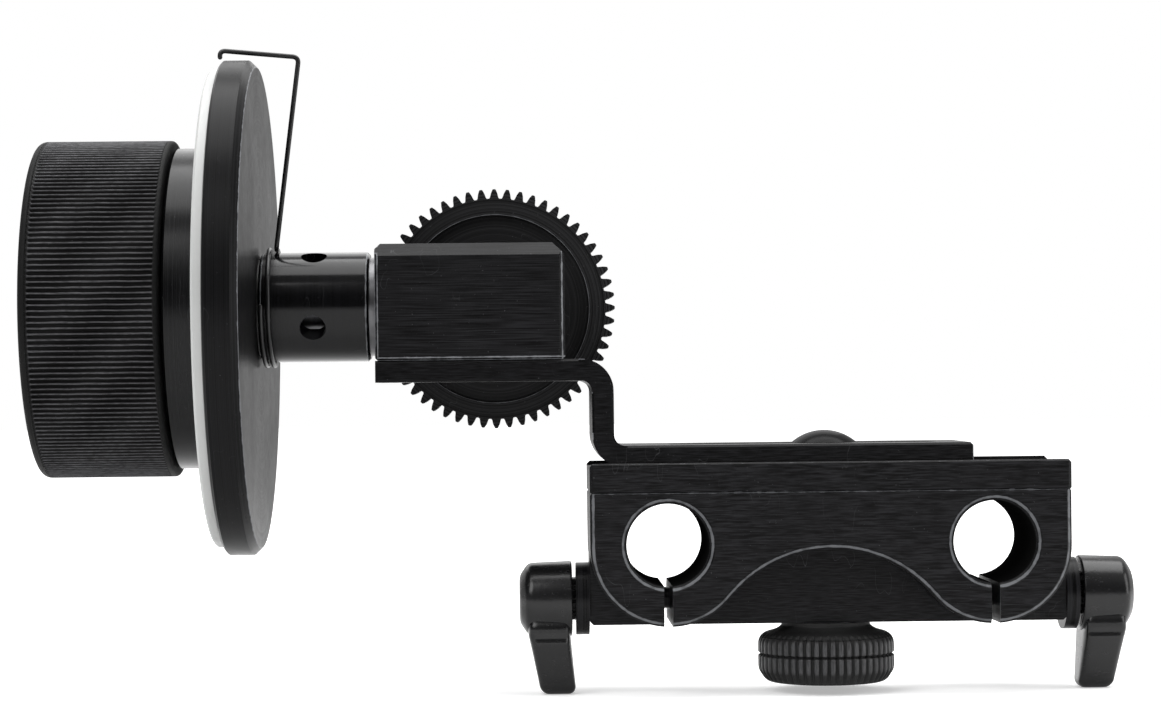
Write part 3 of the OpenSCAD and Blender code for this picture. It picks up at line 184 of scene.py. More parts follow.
class Recipe:
    """The node tree of one material, or of the world."""

    def __init__(self, name: str, world: bool = False) -> None:
        """Starts a material or a world with an empty tree.

        Args:
            name: the new block's name.
            world: whether it is a world.
        """
        blocks = bpy.data.worlds if world else bpy.data.materials
        self.material = blocks.new(name)
        self.material.use_nodes = True
        self.tree = self.material.node_tree
        self.tree.nodes.clear()
        self._place: Optional[Tuple[Shade, Shade, Shade]] = None
        self._coords: Optional[Shade] = None

    def node(
        self,
        kind: str,
        settings: Optional[Mapping[str, Any]] = None,
        sockets: Optional[Mapping[Union[int, str], Any]] = None,
        out: Union[int, str] = 0,
    ) -> Shade:
        """Adds any node.

        Args:
            kind: the node's type.
            settings: its settings, set first.
            sockets: values or links of its inputs.
            out: the output that is returned.

        Returns:
            The chosen output.
        """
        made = self.tree.nodes.new(kind)
        for key, value in (settings or {}).items():
            setattr(made, key, value)
        for key, value in (sockets or {}).items():
            self.put(made.inputs[key], value)
        return Shade(self, made.outputs[out] if len(made.outputs) else None)

    def outputs(self, kind: str, keys: Sequence[Union[int, str]], sockets: Any = None) -> List[Shade]:
        """Adds a node and gives several of its outputs.

        Args:
            kind: the node's type.
            keys: the outputs that are wanted.
            sockets: values or links of its inputs.

        Returns:
            The outputs, in the order of the keys.
        """
        made = self.node(kind, sockets=sockets).socket.node
        return [Shade(self, made.outputs[key]) for key in keys]

    def put(self, socket: bpy.types.NodeSocket, value: Value) -> None:
        """Links or sets an input.

        Args:
            socket: the input.
            value: a Shade to link, or a number or colour to set.
        """
        if isinstance(value, Shade):
            self.tree.links.new(value.socket, socket)
        elif socket.type == "RGBA":
            socket.default_value = (*value, 1.0)
        else:
            socket.default_value = value

    def coords(self) -> Shade:
        """The point on the object, in metres.

        Returns:
            Its vector, the same socket each time.
        """
        if self._coords is None:
            self._coords = self.node("ShaderNodeTexCoord", out="Object")
        return self._coords

    def place(self) -> Tuple[Shade, Shade, Shade]:
        """The point's X, Y and Z, in millimetres.

        Returns:
            The three values, the same sockets each time.
        """
        if self._place is None:
            split = self.outputs("ShaderNodeSeparateXYZ", (0, 1, 2), {0: self.coords()})
            self._place = tuple(value * (1.0 / MM) for value in split)
        return self._place

    def noise(
        self, per_mm: Triple, detail: float = 2.0, at: Optional[Shade] = None, shift: float = 0.0
    ) -> Shade:
        """Smooth noise between 0 and 1.

        Args:
            per_mm: how many waves there are in a millimetre along each axis.
            detail: how many finer layers it has.
            at: the point, in millimetres; the object's own point if left out.
            shift: moves the pattern, so that two noises differ.

        Returns:
            The noise.
        """
        unit = 1.0 if at is not None else 1.0 / MM
        vector = self.node(
            "ShaderNodeMapping",
            {"vector_type": "POINT"},
            {
                "Vector": at if at is not None else self.coords(),
                "Location": (shift, shift * 0.7, -shift),
                "Scale": tuple(unit * s for s in per_mm),
            },
        )
        return self.node(
            "ShaderNodeTexNoise",
            {"noise_dimensions": "3D"},
            {"Vector": vector, "Scale": 1.0, "Detail": detail, "Roughness": 0.55},
        )

    def around(self, axis: "Axis", centre: Triple) -> Tuple[Shade, Shade]:
        """Radius and place along an axis through a centre, in millimetres.

        Args:
            axis: the axis that is turned about.
            centre: a point on it.

        Returns:
            The radius and the place along the axis.
        """
        values = self.place()
        index = axis.value
        sides = [i for i in range(3) if i != index]
        a, b = (values[i] - centre[i] for i in sides)
        return (a * a + b * b).root(), values[index] - centre[index]

    def vector(self, x: Any, y: Any, z: Any) -> Shade:
        """Three values as one vector."""
        return self.node("ShaderNodeCombineXYZ", sockets={0: x, 1: y, 2: z})

    def mix(self, share: Any, low: Any, high: Any) -> Shade:
        """Blends two colours.

        Args:
            share: 0 gives the first, 1 the second.
            low: the first colour.
            high: the second colour.

        Returns:
            The blend.
        """
        return self.node(
            "ShaderNodeMix", {"data_type": "RGBA"}, {0: share, 6: low, 7: high}, out=2
        )

    def bump(self, height: Shade, depth: float) -> Shade:
        """Turns a height into a normal.

        Args:
            height: the height, 0 to 1.
            depth: the depth of a height of 1, in millimetres.

        Returns:
            The normal.
        """
        sockets = {"Strength": 1.0, "Distance": depth * MM, "Height": height}
        return self.node("ShaderNodeBump", sockets=sockets)

    def finish(self, sockets: Mapping[str, Any], matt: Value = 0.0) -> bpy.types.Material:
        """Ends the tree in one Principled shader, with plain matt black where it is asked for.

        Args:
            sockets: the shader's inputs.
            matt: the share of matt black, 0 to 1.

        Returns:
            The material.
        """
        shader = self.node("ShaderNodeBsdfPrincipled", sockets=sockets)
        if matt != 0.0:
            plain = self.node("ShaderNodeBsdfDiffuse", sockets={"Color": MATT_BLACK})
            shader = self.node("ShaderNodeMixShader", sockets={0: matt, 1: shader, 2: plain})
        self.node("ShaderNodeOutputMaterial", sockets={"Surface": shader})
        return self.material


# ---- Finishes ----


class Axis(Enum):
    """An axis of the frame."""

    X = 0
    Y = 1
    Z = 2


class Side(Enum):
    """A side of the clamp, as the camera sees it."""

    LEFT = "left"
    RIGHT = "right"


@dataclass(frozen=True)
class BoxEdges:
    """The edges of a box, where a coating wears first."""

    low: Triple
    high: Triple
    chamfer: float = 0.0

    def distance(self, recipe: Recipe) -> Shade:
        """How far a point of the surface is from the nearest edge.

        On each axis the distance to the nearer face is taken. On the surface one of the three is
        zero, and the smallest of the pairwise maxima is the distance to an edge.

        Args:
            recipe: the tree that it is worked out in.

        Returns:
            The distance, in millimetres.
        """
        x, y, z = (
            abs(value - (low + high) / 2) * -1.0 + (high - low) / 2
            for value, low, high in zip(recipe.place(), self.low, self.high)
        )
        x, y, z = abs(x), abs(y), abs(z)
        nearest = x.at_least(y).at_most(y.at_least(z)).at_most(x.at_least(z))
        return abs(nearest - self.chamfer) if self.chamfer else nearest


@dataclass(frozen=True)
class RingEdge:
    """A round edge about an axis."""

    axis: Axis
    centre: Triple
    radius: float

    def distance(self, recipe: Recipe) -> Shade:
        """How far a point is from the edge: the larger of its distances along and across the axis.

        Args:
            recipe: the tree that it is worked out in.

        Returns:
            The distance, in millimetres.
        """
        radius, along = recipe.around(self.axis, self.centre)
        return abs(radius - self.radius).at_least(abs(along))


@dataclass(frozen=True)
class Band:
    """A flat band across an axis, such as the row of bevels round a machined face."""

    axis: Axis
    start: float
    end: float

    def distance(self, recipe: Recipe) -> Shade:
        """How far a point is outside the band, along the axis: 0 within it.

        Args:
            recipe: the tree that it is worked out in.

        Returns:
            The distance, in millimetres.
        """
        middle, half = (self.start + self.end) / 2, (self.end - self.start) / 2
        return (abs(recipe.place()[self.axis.value] - middle) - half).at_least(0.0)


@dataclass(frozen=True)
class Rail:
    """A straight edge along X or Z, on the front and on the rear side alike."""

    axis: Axis
    start: float
    end: float
    side_y: float
    other: float

    def distance(self, recipe: Recipe) -> Shade:
        """How far a point is from the edge: the largest of its distances on the three axes.

        Args:
            recipe: the tree that it is worked out in.

        Returns:
            The distance, in millimetres.
        """
        values = recipe.place()
        along = values[self.axis.value]
        other = values[Axis.Z.value if self.axis is Axis.X else Axis.X.value]
        across = abs(abs(values[Axis.Y.value]) - self.side_y).at_least(abs(other - self.other))
        return across.at_least(self.start - along).at_least(along - self.end)


Edge = Union[BoxEdges, RingEdge, Band, Rail]


@dataclass(frozen=True)
class Grain:
    """The direction of the tool marks: straight along an axis, or turned about one."""

    axis: Axis
    turned: bool = False
    centre: Triple = (0.0, 0.0, 0.0)

    def lines(self, recipe: Recipe, fine: float, long: float) -> Shade:
        """Fine parallel lines, as noise that is stretched along the marks.

        Args:
            recipe: the tree that they are made in.
            fine: lines in a millimetre across the marks.
            long: waves in a millimetre along them.

        Returns:
            The lines, 0 to 1.
        """
        if self.turned:
            radius, along = recipe.around(self.axis, self.centre)
            point = recipe.vector(radius, along, 0.0)
            return recipe.noise((fine, fine, 1.0), 2.0, at=point)
        stretch = [fine, fine, fine]
        stretch[self.axis.value] = long
        return recipe.noise(tuple(stretch), 3.0)


@dataclass(frozen=True)
class Anodised:
    """Black anodised aluminium with fine tool marks, handling marks, dust and bright worn edges."""

    grain: Grain
    streak: float = 0.3
    edges: Tuple[Edge, ...] = ()
    bores: Tuple[RingEdge, ...] = ()
    black: Colour = (0.003, 0.003, 0.0033)
    roughness: float = 0.36
    marks: float = 0.004
    specular: float = 0.11
    wear: float = 0.45
    dust: float = 1.0
    veil: float = 0.0

    def material(self, name: str) -> bpy.types.Material:
        """Makes the material.

        Args:
            name: its name.

        Returns:
            The material.
        """
        r = Recipe(name)
        lines = self.grain.lines(r, 4.5, self.streak)
        blotch = r.noise((0.07, 0.07, 0.07), 4.0, shift=3.0)
        smear = r.noise((0.5, 0.35, 0.6), 3.0, shift=8.0)
        fleck = r.noise((2.6, 2.6, 2.6), 2.0, shift=5.0).smooth(0.735, 0.77)
        scratch_line = abs(r.noise((0.3, 0.42, 0.11), 1.0, shift=11.0) - 0.5)
        scratch = (1.0 - scratch_line.smooth(0.0, 0.0035)) * r.noise(
            (0.09, 0.12, 0.1), 1.0, shift=17.0
        ).smooth(0.56, 0.64)
        marks = (fleck * (0.6 * self.dust) + scratch * 0.35).at_most(1.0)
        shade = r.mix(
            lines.smooth(0.3, 0.75), tinted(self.black, 0.1), tinted(self.black, 4.6)
        )
        shade = r.mix(blotch.smooth(0.42, 0.72) * 0.3, shade, tinted(self.black, 1.7))
        shade = r.mix(marks, shade, (0.09, 0.091, 0.095))
        rough = lines * 0.1 + blotch * 0.14 + smear * 0.1 + (self.roughness - 0.17)
        if self.edges:
            worn = self._worn(r)
            shade = r.mix(worn, shade, (0.34, 0.35, 0.37))
            rough = rough + worn * 0.06
        height = lines * 0.7 + blotch * 0.1 + fleck * 0.25
        return r.finish(
            {
                "Base Color": shade,
                "Roughness": rough,
                "Specular IOR Level": self.specular,
                "Normal": r.bump(height, self.marks),
            },
            self._veil_and_bore_shade(r),
        )

    def _veil_and_bore_shade(self, r: Recipe) -> Value:
        """How much plain matt black is mixed in: all of it on the walls of its bores, as painted shade
        there, and the even veil elsewhere.

        Args:
            r: the material's tree.

        Returns:
            1 on the bores' walls and the veil elsewhere.
        """
        matt: Value = self.veil
        # Painted shade: plain matt black on the walls of each bore.
        for bore in self.bores:
            radius, _ = r.around(bore.axis, bore.centre)
            matt = (1.0 - radius.smooth(bore.radius + 0.05, bore.radius + 0.15)).at_least(matt)
        return matt

    def _worn(self, r: Recipe) -> Shade:
        """Where the coating is worn off: within a broken, thin line along each edge.

        Args:
            r: the material's tree.

        Returns:
            The share of bare metal, 0 to 1.
        """
        distance = self.edges[0].distance(r)
        for edge in self.edges[1:]:
            distance = distance.at_most(edge.distance(r))
        broken = r.noise((0.55, 0.55, 0.55), 4.0, shift=23.0)
        reach = broken.smooth(0.4, 0.7) * 0.1 + 0.13
        return (1.0 - (distance / reach).smooth(0.5, 1.0)) * (broken.smooth(0.05, 0.6) * self.wear)


@dataclass(frozen=True)
class Plastic:
    """Black moulded plastic: glossy, slightly uneven, with dust and scuffs."""

    black: Colour = (0.005, 0.005, 0.0053)
    roughness: float = 0.24
    uneven: float = 0.03
    specular: float = 0.35
    dust: float = 1.0

    def material(self, name: str) -> bpy.types.Material:
        """Makes the material.

        Args:
            name: its name.

        Returns:
            The material.
        """
        r = Recipe(name)
        peel = r.noise((0.9, 0.9, 0.9), 3.0)
        skin = r.noise((7.0, 7.0, 7.0), 2.0, shift=4.0)
        blotch = r.noise((0.16, 0.16, 0.16), 3.0, shift=9.0)
        fleck = r.noise((3.0, 3.0, 3.0), 2.0, shift=14.0).smooth(0.72, 0.76)
        scuff = r.noise((0.7, 1.2, 1.9), 4.0, shift=19.0).smooth(0.6, 0.78)
        shade = r.mix(blotch, self.black, tinted(self.black, 1.6))
        shade = r.mix((fleck * (0.5 * self.dust) + scuff * 0.12).at_most(1.0), shade, (0.10, 0.10, 0.105))
        return r.finish(
            {
                "Base Color": shade,
                "Roughness": skin * 0.1 + scuff * 0.2 + blotch * 0.12 + (self.roughness - 0.1),
                "Specular IOR Level": self.specular,
                "Normal": r.bump(peel * 0.8 + skin * 0.2, self.uneven),
            }
        )


@dataclass(frozen=True)
class Metal:
    """Bare metal with tool marks and faint tarnish."""

    colour: Colour
    grain: Grain
    roughness: float = 0.28
    marks: float = 0.004
    tarnish: float = 0.35

    def material(self, name: str) -> bpy.types.Material:
        """Makes the material.

        Args:
            name: its name.

        Returns:
            The material.
        """
        r = Recipe(name)
        lines = self.grain.lines(r, 8.0, 0.2)
        blotch = r.noise((0.35, 0.35, 0.35), 4.0, shift=6.0)
        dull = tinted(self.colour, 1.0 - self.tarnish)
        shade = r.mix(blotch.smooth(0.35, 0.8), self.colour, dull)
        shade = r.mix(lines.smooth(0.3, 0.9) * 0.35, shade, dull)
        return r.finish(
            {
                "Base Color": shade,
                "Metallic": 1.0,
                "Roughness": lines * 0.12 + blotch * 0.16 + (self.roughness - 0.12),
                "Normal": r.bump(lines, self.marks),
            }
        )


@dataclass(frozen=True)
class WhiteDisc:
    """Smooth white writable plastic, with faint wiped pencil, a little dirt and a painted shadow along
    its joint with the backing disc.
    """

    joint: float
    white: Colour = (0.42, 0.425, 0.42)

    def material(self, name: str) -> bpy.types.Material:
        """Makes the material.

        Args:
            name: its name.

        Returns:
            The material.
        """
        r = Recipe(name)
        cloud = r.noise((0.08, 0.08, 0.08), 4.0)
        wiped = r.noise((0.3, 0.06, 0.3), 4.0, shift=7.0).smooth(0.55, 0.8)
        grime = r.noise((1.4, 1.4, 1.4), 4.0, shift=13.0).smooth(0.68, 0.8)
        shade = r.mix(cloud.smooth(0.3, 0.8) * 0.5, self.white, tinted(self.white, 0.9))
        shade = r.mix((wiped * 0.12 + grime * 0.2).at_most(1.0), shade, (0.34, 0.34, 0.33))
        # Painted shadow: the colour turns near black just before the joint with the backing disc.
        along = r.place()[Axis.X.value]
        shade = r.mix(along.smooth(self.joint - 0.35, self.joint - 0.2), shade, (0.02, 0.02, 0.02))
        return r.finish(
            {
                "Base Color": shade,
                "Roughness": cloud * 0.2 + wiped * 0.15 + 0.32,
                "Normal": r.bump(r.noise((5.0, 5.0, 5.0), 2.0, shift=2.0), 0.004),
            }
        )


@dataclass(frozen=True)
class Ribbed:
    """Hard black rubber or plastic, rougher in its grooves and glossier on its ribs' crests, with painted
    shade in the grooves and a painted highlight on the crests.
    """

    axis: Axis
    centre: Triple
    radius: float
    start: float
    end: float
    depth: float = 0.3
    black: Colour = (0.005, 0.005, 0.0053)
    painted_crest_highlight: float = 15.0
    specular: float = 0.16

    def material(self, name: str) -> bpy.types.Material:
        """Makes the material.

        Args:
            name: its name.

        Returns:
            The material.
        """
        r = Recipe(name)
        radius, _ = r.around(self.axis, self.centre)
        along = r.place()[self.axis.value]
        ribs = along.smooth(self.start, self.start + 0.4) * (1.0 - along.smooth(self.end - 0.4, self.end))
        crest = radius.smooth(self.radius - self.depth, self.radius - 0.02) * ribs
        stretch = [5.0, 5.0, 5.0]
        stretch[self.axis.value] = 0.9
        fibre = r.noise(tuple(stretch), 4.0)
        blotch = r.noise((0.12, 0.12, 0.12), 4.0, shift=5.0)
        dust = r.noise((1.7, 3.2, 3.2), 3.0, shift=9.0).smooth(0.66, 0.78)
        # Painted highlight and painted shade: the colour runs from a tenth of the black in the grooves to
        # many times it on the crests.
        crest_glint_share = crest * (fibre.smooth(0.3, 0.65) * 0.7 + 0.3)
        shade = r.mix(crest_glint_share, tinted(self.black, 0.1), tinted(self.black, self.painted_crest_highlight))
        shade = r.mix(dust * 0.22, shade, (0.13, 0.13, 0.13))
        return r.finish(
            {
                "Base Color": shade,
                "Roughness": (1.0 - crest) * 0.28 + fibre * 0.2 + blotch * 0.16 + 0.2,
                "Specular IOR Level": self.specular,
                "Normal": r.bump(fibre * 0.8 + blotch * 0.2, 0.05),
            }
        )


# ---- Meshes ----

REFERENCE = np.array([0.31, 0.74, 0.59])
END_RINGS = 4


def new_object(name: str, points: np.ndarray, faces: np.ndarray, smooth: bool = True) -> bpy.types.Object:
    """Makes an object of points and faces, welds what coincides and turns its faces outwards.

    Args:
        name: the piece's name.
        points: its corners, in millimetres, one row each.
        faces: corner numbers, one row a face.
        smooth: whether its faces are shaded smooth.

    Returns:
        The object, at the origin.
    """
    mesh = bpy.data.meshes.new(name)
    mesh.from_pydata((points * MM).tolist(), [], faces.tolist())
    work = bmesh.new()
    work.from_mesh(mesh)
    bmesh.ops.remove_doubles(work, verts=work.verts, dist=1e-7)
    bmesh.ops.dissolve_degenerate(work, edges=work.edges, dist=1e-8)
    bmesh.ops.recalc_face_normals(work, faces=work.faces)
    work.to_mesh(mesh)
    work.free()
    mesh.polygons.foreach_set("use_smooth", np.full(len(mesh.polygons), smooth))
    mesh.update()
    made = bpy.data.objects.new(name, mesh)
    bpy.context.scene.collection.objects.link(made)
    return made


def grid_faces(rows: int, columns: int, wrap_rows: bool, wrap_columns: bool) -> np.ndarray:
    """Four-cornered faces of a grid of points that is numbered row by row.

    Args:
        rows: rows of points.
        columns: points in a row.
        wrap_rows: whether the last row joins the first.
        wrap_columns: whether the last column joins the first.

    Returns:
        One row of four corner numbers a face.
    """
    i = np.arange(rows if wrap_rows else rows - 1)[:, None]
    j = np.arange(columns if wrap_columns else columns - 1)[None, :]
    below, beside = (i + 1) % rows, (j + 1) % columns
    corners = (i * columns + j, i * columns + beside, below * columns + beside, below * columns + j)
    return np.stack(np.broadcast_arrays(*corners), axis=-1).reshape(-1, 4)


def rounded(points: Sequence[Tuple[float, float]], radii: Sequence[float], steps: int = 5) -> np.ndarray:
    """Rounds the corners of a profile.

    Each corner becomes a quadratic curve that starts and ends its radius away from the corner along
    the two sides, with the corner as the curve's control point.

    Args:
        points: the profile's corners, in order.
        radii: how far each corner's rounding reaches; 0 keeps it sharp.
        steps: pieces of each curve.

    Returns:
        The new profile, one row a point.
    """
    corners = np.asarray(points, float)
    before, after = np.roll(corners, 1, axis=0), np.roll(corners, -1, axis=0)
    reach = np.asarray(radii, float)[:, None]
    t = np.linspace(0.0, 1.0, steps + 1)[None, :, None]

    def towards(target: np.ndarray) -> np.ndarray:
        """Unit step from each corner to its neighbour."""
        step = target - corners
        return step / np.maximum(np.linalg.norm(step, axis=1, keepdims=True), 1e-9)

    start = (corners + towards(before) * reach)[:, None, :]
    end = (corners + towards(after) * reach)[:, None, :]
    middle = corners[:, None, :]
    curve = (1 - t) ** 2 * start + 2 * t * (1 - t) * middle + t**2 * end
    curve = curve.reshape(-1, 2)
    keep = np.ones(len(curve), bool)
    keep[1:] = np.linalg.norm(np.diff(curve, axis=0), axis=1) > 1e-6
    return curve[keep]


def spun(
    profile: np.ndarray,
    columns: int,
    axis: Axis,
    centre: Triple,
    closed: bool,
    swell: Optional[Swell] = None,
) -> Surface:
    """Turns a profile about an axis.

    A point at radius r and place s goes to r cos(a) and r sin(a) across the axis and s along it, for
    each angle a. The radius may first grow by a height that depends on the place and the angle.

    Args:
        profile: radius and place of each point, in order.
        columns: how many angles there are.
        axis: the axis that it turns about.
        centre: a point of the axis, from which places are counted.
        closed: whether the profile's end joins its start.
        swell: gives the height to add, from arrays of radius, place and angle.

    Returns:
        The points and the faces.
    """
    angle = np.linspace(0.0, 2 * np.pi, columns, endpoint=False)[None, :]
    radius, place = profile[:, :1], profile[:, 1:2]
    grown = radius + (swell(radius, place, angle) if swell else 0.0) + 0.0 * angle
    parts = [grown * np.cos(angle), grown * np.sin(angle)]
    parts.insert(axis.value, place + 0.0 * angle)
    points = np.stack(parts, axis=-1).reshape(-1, 3) + np.asarray(centre)
    return points, grid_faces(len(profile), columns, closed, True)


def tube(path: np.ndarray, radius: float, sides: int) -> Surface:
    """Carries a circle along a path, and closes both ends like half balls.

    A point is the path's point plus the radius times side cos(a) + other sin(a). The side vector starts
    square to a fixed reference and is laid flat across the path at one point after another, so that
    the circle doesn't twist. Laying flat takes away the part along the path, which is a product with
    one matrix a point. The running product of these is made by joining stretches that double in
    length. The end rings shrink by cos(b) and move out by sin(b) times the radius.

    Args:
        path: points of the centre line, one row each.
        radius: the circle's radius.
        sides: points round it.

    Returns:
        The points and the faces.
    """
    way = np.gradient(path, axis=0)
    way /= np.linalg.norm(way, axis=1, keepdims=True)
    flatten = np.eye(3) - way[:, :, None] * way[:, None, :]
    stretch = 1
    while stretch < len(path):
        flatten[stretch:] = flatten[stretch:] @ flatten[:-stretch]
        stretch *= 2
    side = flatten @ np.cross(way[0], REFERENCE)
    side /= np.linalg.norm(side, axis=1, keepdims=True)
    other = np.cross(way, side)
    reach = np.linspace(0.0, np.pi / 2, END_RINGS + 1)[1:]
    out = radius * np.sin(reach)[:, None]
    centre = np.concatenate([path[:1] - way[:1] * out[::-1], path, path[-1:] + way[-1:] * out])
    size = np.concatenate([np.cos(reach[::-1]), np.ones(len(path)), np.cos(reach)]) * radius
    size[[0, -1]] = 0.0
    side, other = (np.pad(v, ((END_RINGS, END_RINGS), (0, 0)), "edge")[:, None, :] for v in (side, other))
    angle = np.linspace(0.0, 2 * np.pi, sides, endpoint=False)[None, :, None]
    ring = side * np.cos(angle) + other * np.sin(angle)
    points = centre[:, None, :] + ring * size[:, None, None]
    return points.reshape(-1, 3), grid_faces(len(centre), sides, False, True)


def joined(parts: Sequence[Surface]) -> Surface:
    """Puts several shells in one mesh.

    Args:
        parts: points and faces of each shell, with four corners a face.

    Returns:
        The points and the faces of them all.
    """
    starts = np.cumsum([0] + [len(points) for points, _ in parts[:-1]])
    faces = np.concatenate([faces + start for (_, faces), start in zip(parts, starts)])
    return np.concatenate([points for points, _ in parts]), faces


def dress(piece: bpy.types.Object, material: bpy.types.Material) -> None:
    """Gives a piece one material.

    Args:
        piece: the piece.
        material: its finish.
    """
    if not piece.data.materials:
        piece.data.materials.append(material)
    for slot in piece.material_slots:
        slot.link = "OBJECT"
        slot.material = material


def dress_nodes(material: bpy.types.Material, *nodes: str) -> List[bpy.types.Object]:
    """Gives nodes of the frame one material.

    Args:
        material: their finish.
        nodes: their names.

    Returns:
        Their objects.
    """
    pieces = [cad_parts[node] for node in nodes]
    for piece in pieces:
        dress(piece, material)
    return pieces


def corners(node: str) -> Tuple[Triple, Triple]:
    """Lowest and highest corner of a node, in millimetres."""
    low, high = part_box(node)
    return tuple(v / MM for v in low), tuple(v / MM for v in high)


# ---- Sub-assemblies ----

SHAFT_Z = 44.45
OUTPUT_X = -31.4
PINCH_Z = -10.4
SHAFT: Triple = (0.0, 0.0, SHAFT_Z)
OUTPUT: Triple = (OUTPUT_X, 0.0, SHAFT_Z)


@dataclass
class Handwheel:
    """The handwheel: grip, core, cap, marking disc and backing disc, and the screws that hold them.

    The rim lists the place and the radius of the backing disc's round edges, the marking disc's first.
    """

    grip_left: float = -115.2
    grip_right: float = -90.3
    grip_radius: float = 31.25
    bore_radius: float = 27.25
    ribs: int = 190
    rib_height: float = 0.6
    edge: float = 1.5
    lip: float = 1.6
    shoulder: float = 0.9
    columns_per_rib: int = 6
    rim: Tuple[Tuple[float, float], ...] = ((-81.1, 46.0), (-75.6, 46.0), (-75.0, 44.7))

    def rib(self, radius: np.ndarray, place: np.ndarray, angle: np.ndarray) -> np.ndarray:
        """Height of the ribs: a flattened wave of the angle that fades over the rounded ends.

        Its phase wanders slowly along and round the grip, as the pressed ribs of the real one do.

        Args:
            radius: radius of each point.
            place: place along the grip.
            angle: angle round it.

        Returns:
            The height, in millimetres.
        """
        start, end = self.grip_left + self.lip, self.grip_right - self.shoulder
        fade = np.clip((place - start) / 0.45, 0.0, 1.0) * np.clip((end - place) / 0.3, 0.0, 1.0)
        fade = fade * (radius > self.grip_radius - 0.4)
        wander = 0.10 * np.sin(0.9 * place + 7.0 * angle) + 0.07 * np.sin(2.3 * place - 19.0 * angle)
        wave = np.cos(self.ribs * angle + wander)
        uneven = 1.0 + 0.18 * np.sin(11.0 * angle + 0.4 * place)
        crest = (0.5 + 0.5 * wave) ** 1.5
        return fade * uneven * self.rib_height * (crest - 1.0)

    def grip(self) -> bpy.types.Object:
        """The ribbed grip: a closed ring profile, turned about the shaft.

        Returns:
            The piece.
        """
        left, right, outer, bore = self.grip_left, self.grip_right, self.grip_radius, self.bore_radius
        start, end = left + self.lip, right - self.shoulder
        straight = np.concatenate([
            np.linspace(start - 0.2, start + 0.5, 6), np.linspace(start + 1.0, end - 0.8, 12),
            np.linspace(end - 0.3, end, 3),
        ])
        ends = rounded(
            [(bore, left), (outer, left), (outer, right), (bore, right)],
            [0.3, self.edge, self.shoulder - 0.1, 0.3],
            8,
        )
        middle = int(np.argmax(ends[:, 1] > (left + right) / 2))
        profile = np.concatenate([
            ends[:middle], np.stack([np.full_like(straight, outer), straight], 1), ends[middle:]
        ])
        points, faces = spun(
            profile, self.ribs * self.columns_per_rib, Axis.X, SHAFT, True, self.rib
        )
        piece = new_object("grip_ribbed", points, faces)
        # The grip's ribs carry a painted highlight on their crests and painted shade in their grooves.
        dress(piece, Ribbed(Axis.X, SHAFT, outer, start, end).material("grip_rubber"))
        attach(piece, "handwheel")
        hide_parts("wheel_grip")
        return piece

    def build(self) -> List[bpy.types.Object]:
        """Builds and dresses the sub-assembly.

        Returns:
            Its pieces.
        """
        turned = Grain(Axis.X, True, SHAFT)
        rim = tuple(RingEdge(Axis.X, (place, 0.0, SHAFT_Z), radius) for place, radius in self.rim)
        black = (0.0018, 0.0018, 0.002)
        disc = Anodised(turned, 0.3, rim, black=black, roughness=0.32, specular=0.1, veil=0.16)
        core = Anodised(turned, black=black, roughness=0.24, marks=0.003, specular=0.17)
        steel, oiled = Metal(STEEL, turned), Metal(OILED_STEEL, turned, 0.45)
        # The marking disc's painted shadow runs along its joint with the backing disc.
        white, bronze = WhiteDisc(self.rim[0][0]), Metal(BRONZE, turned, 0.4)
        return [
            *dress_nodes(disc.material("disc_anodised"), "backing_disc"),
            *dress_nodes(core.material("core_anodised"), "wheel_core", "wheel_cap"),
            *dress_nodes(
                steel.material("wheel_steel"),
                "wheel_screw", "disc_screws", "input_mitre_gear", "input_grub_screw",
            ),
            *dress_nodes(oiled.material("shaft_steel"), "input_shaft"),
            *dress_nodes(white.material("marking_white"), "marking_disc", "wheel_thrust_washer"),
            *dress_nodes(bronze.material("wheel_bronze"), "input_thrust_washer"),
            self.grip(),
        ]


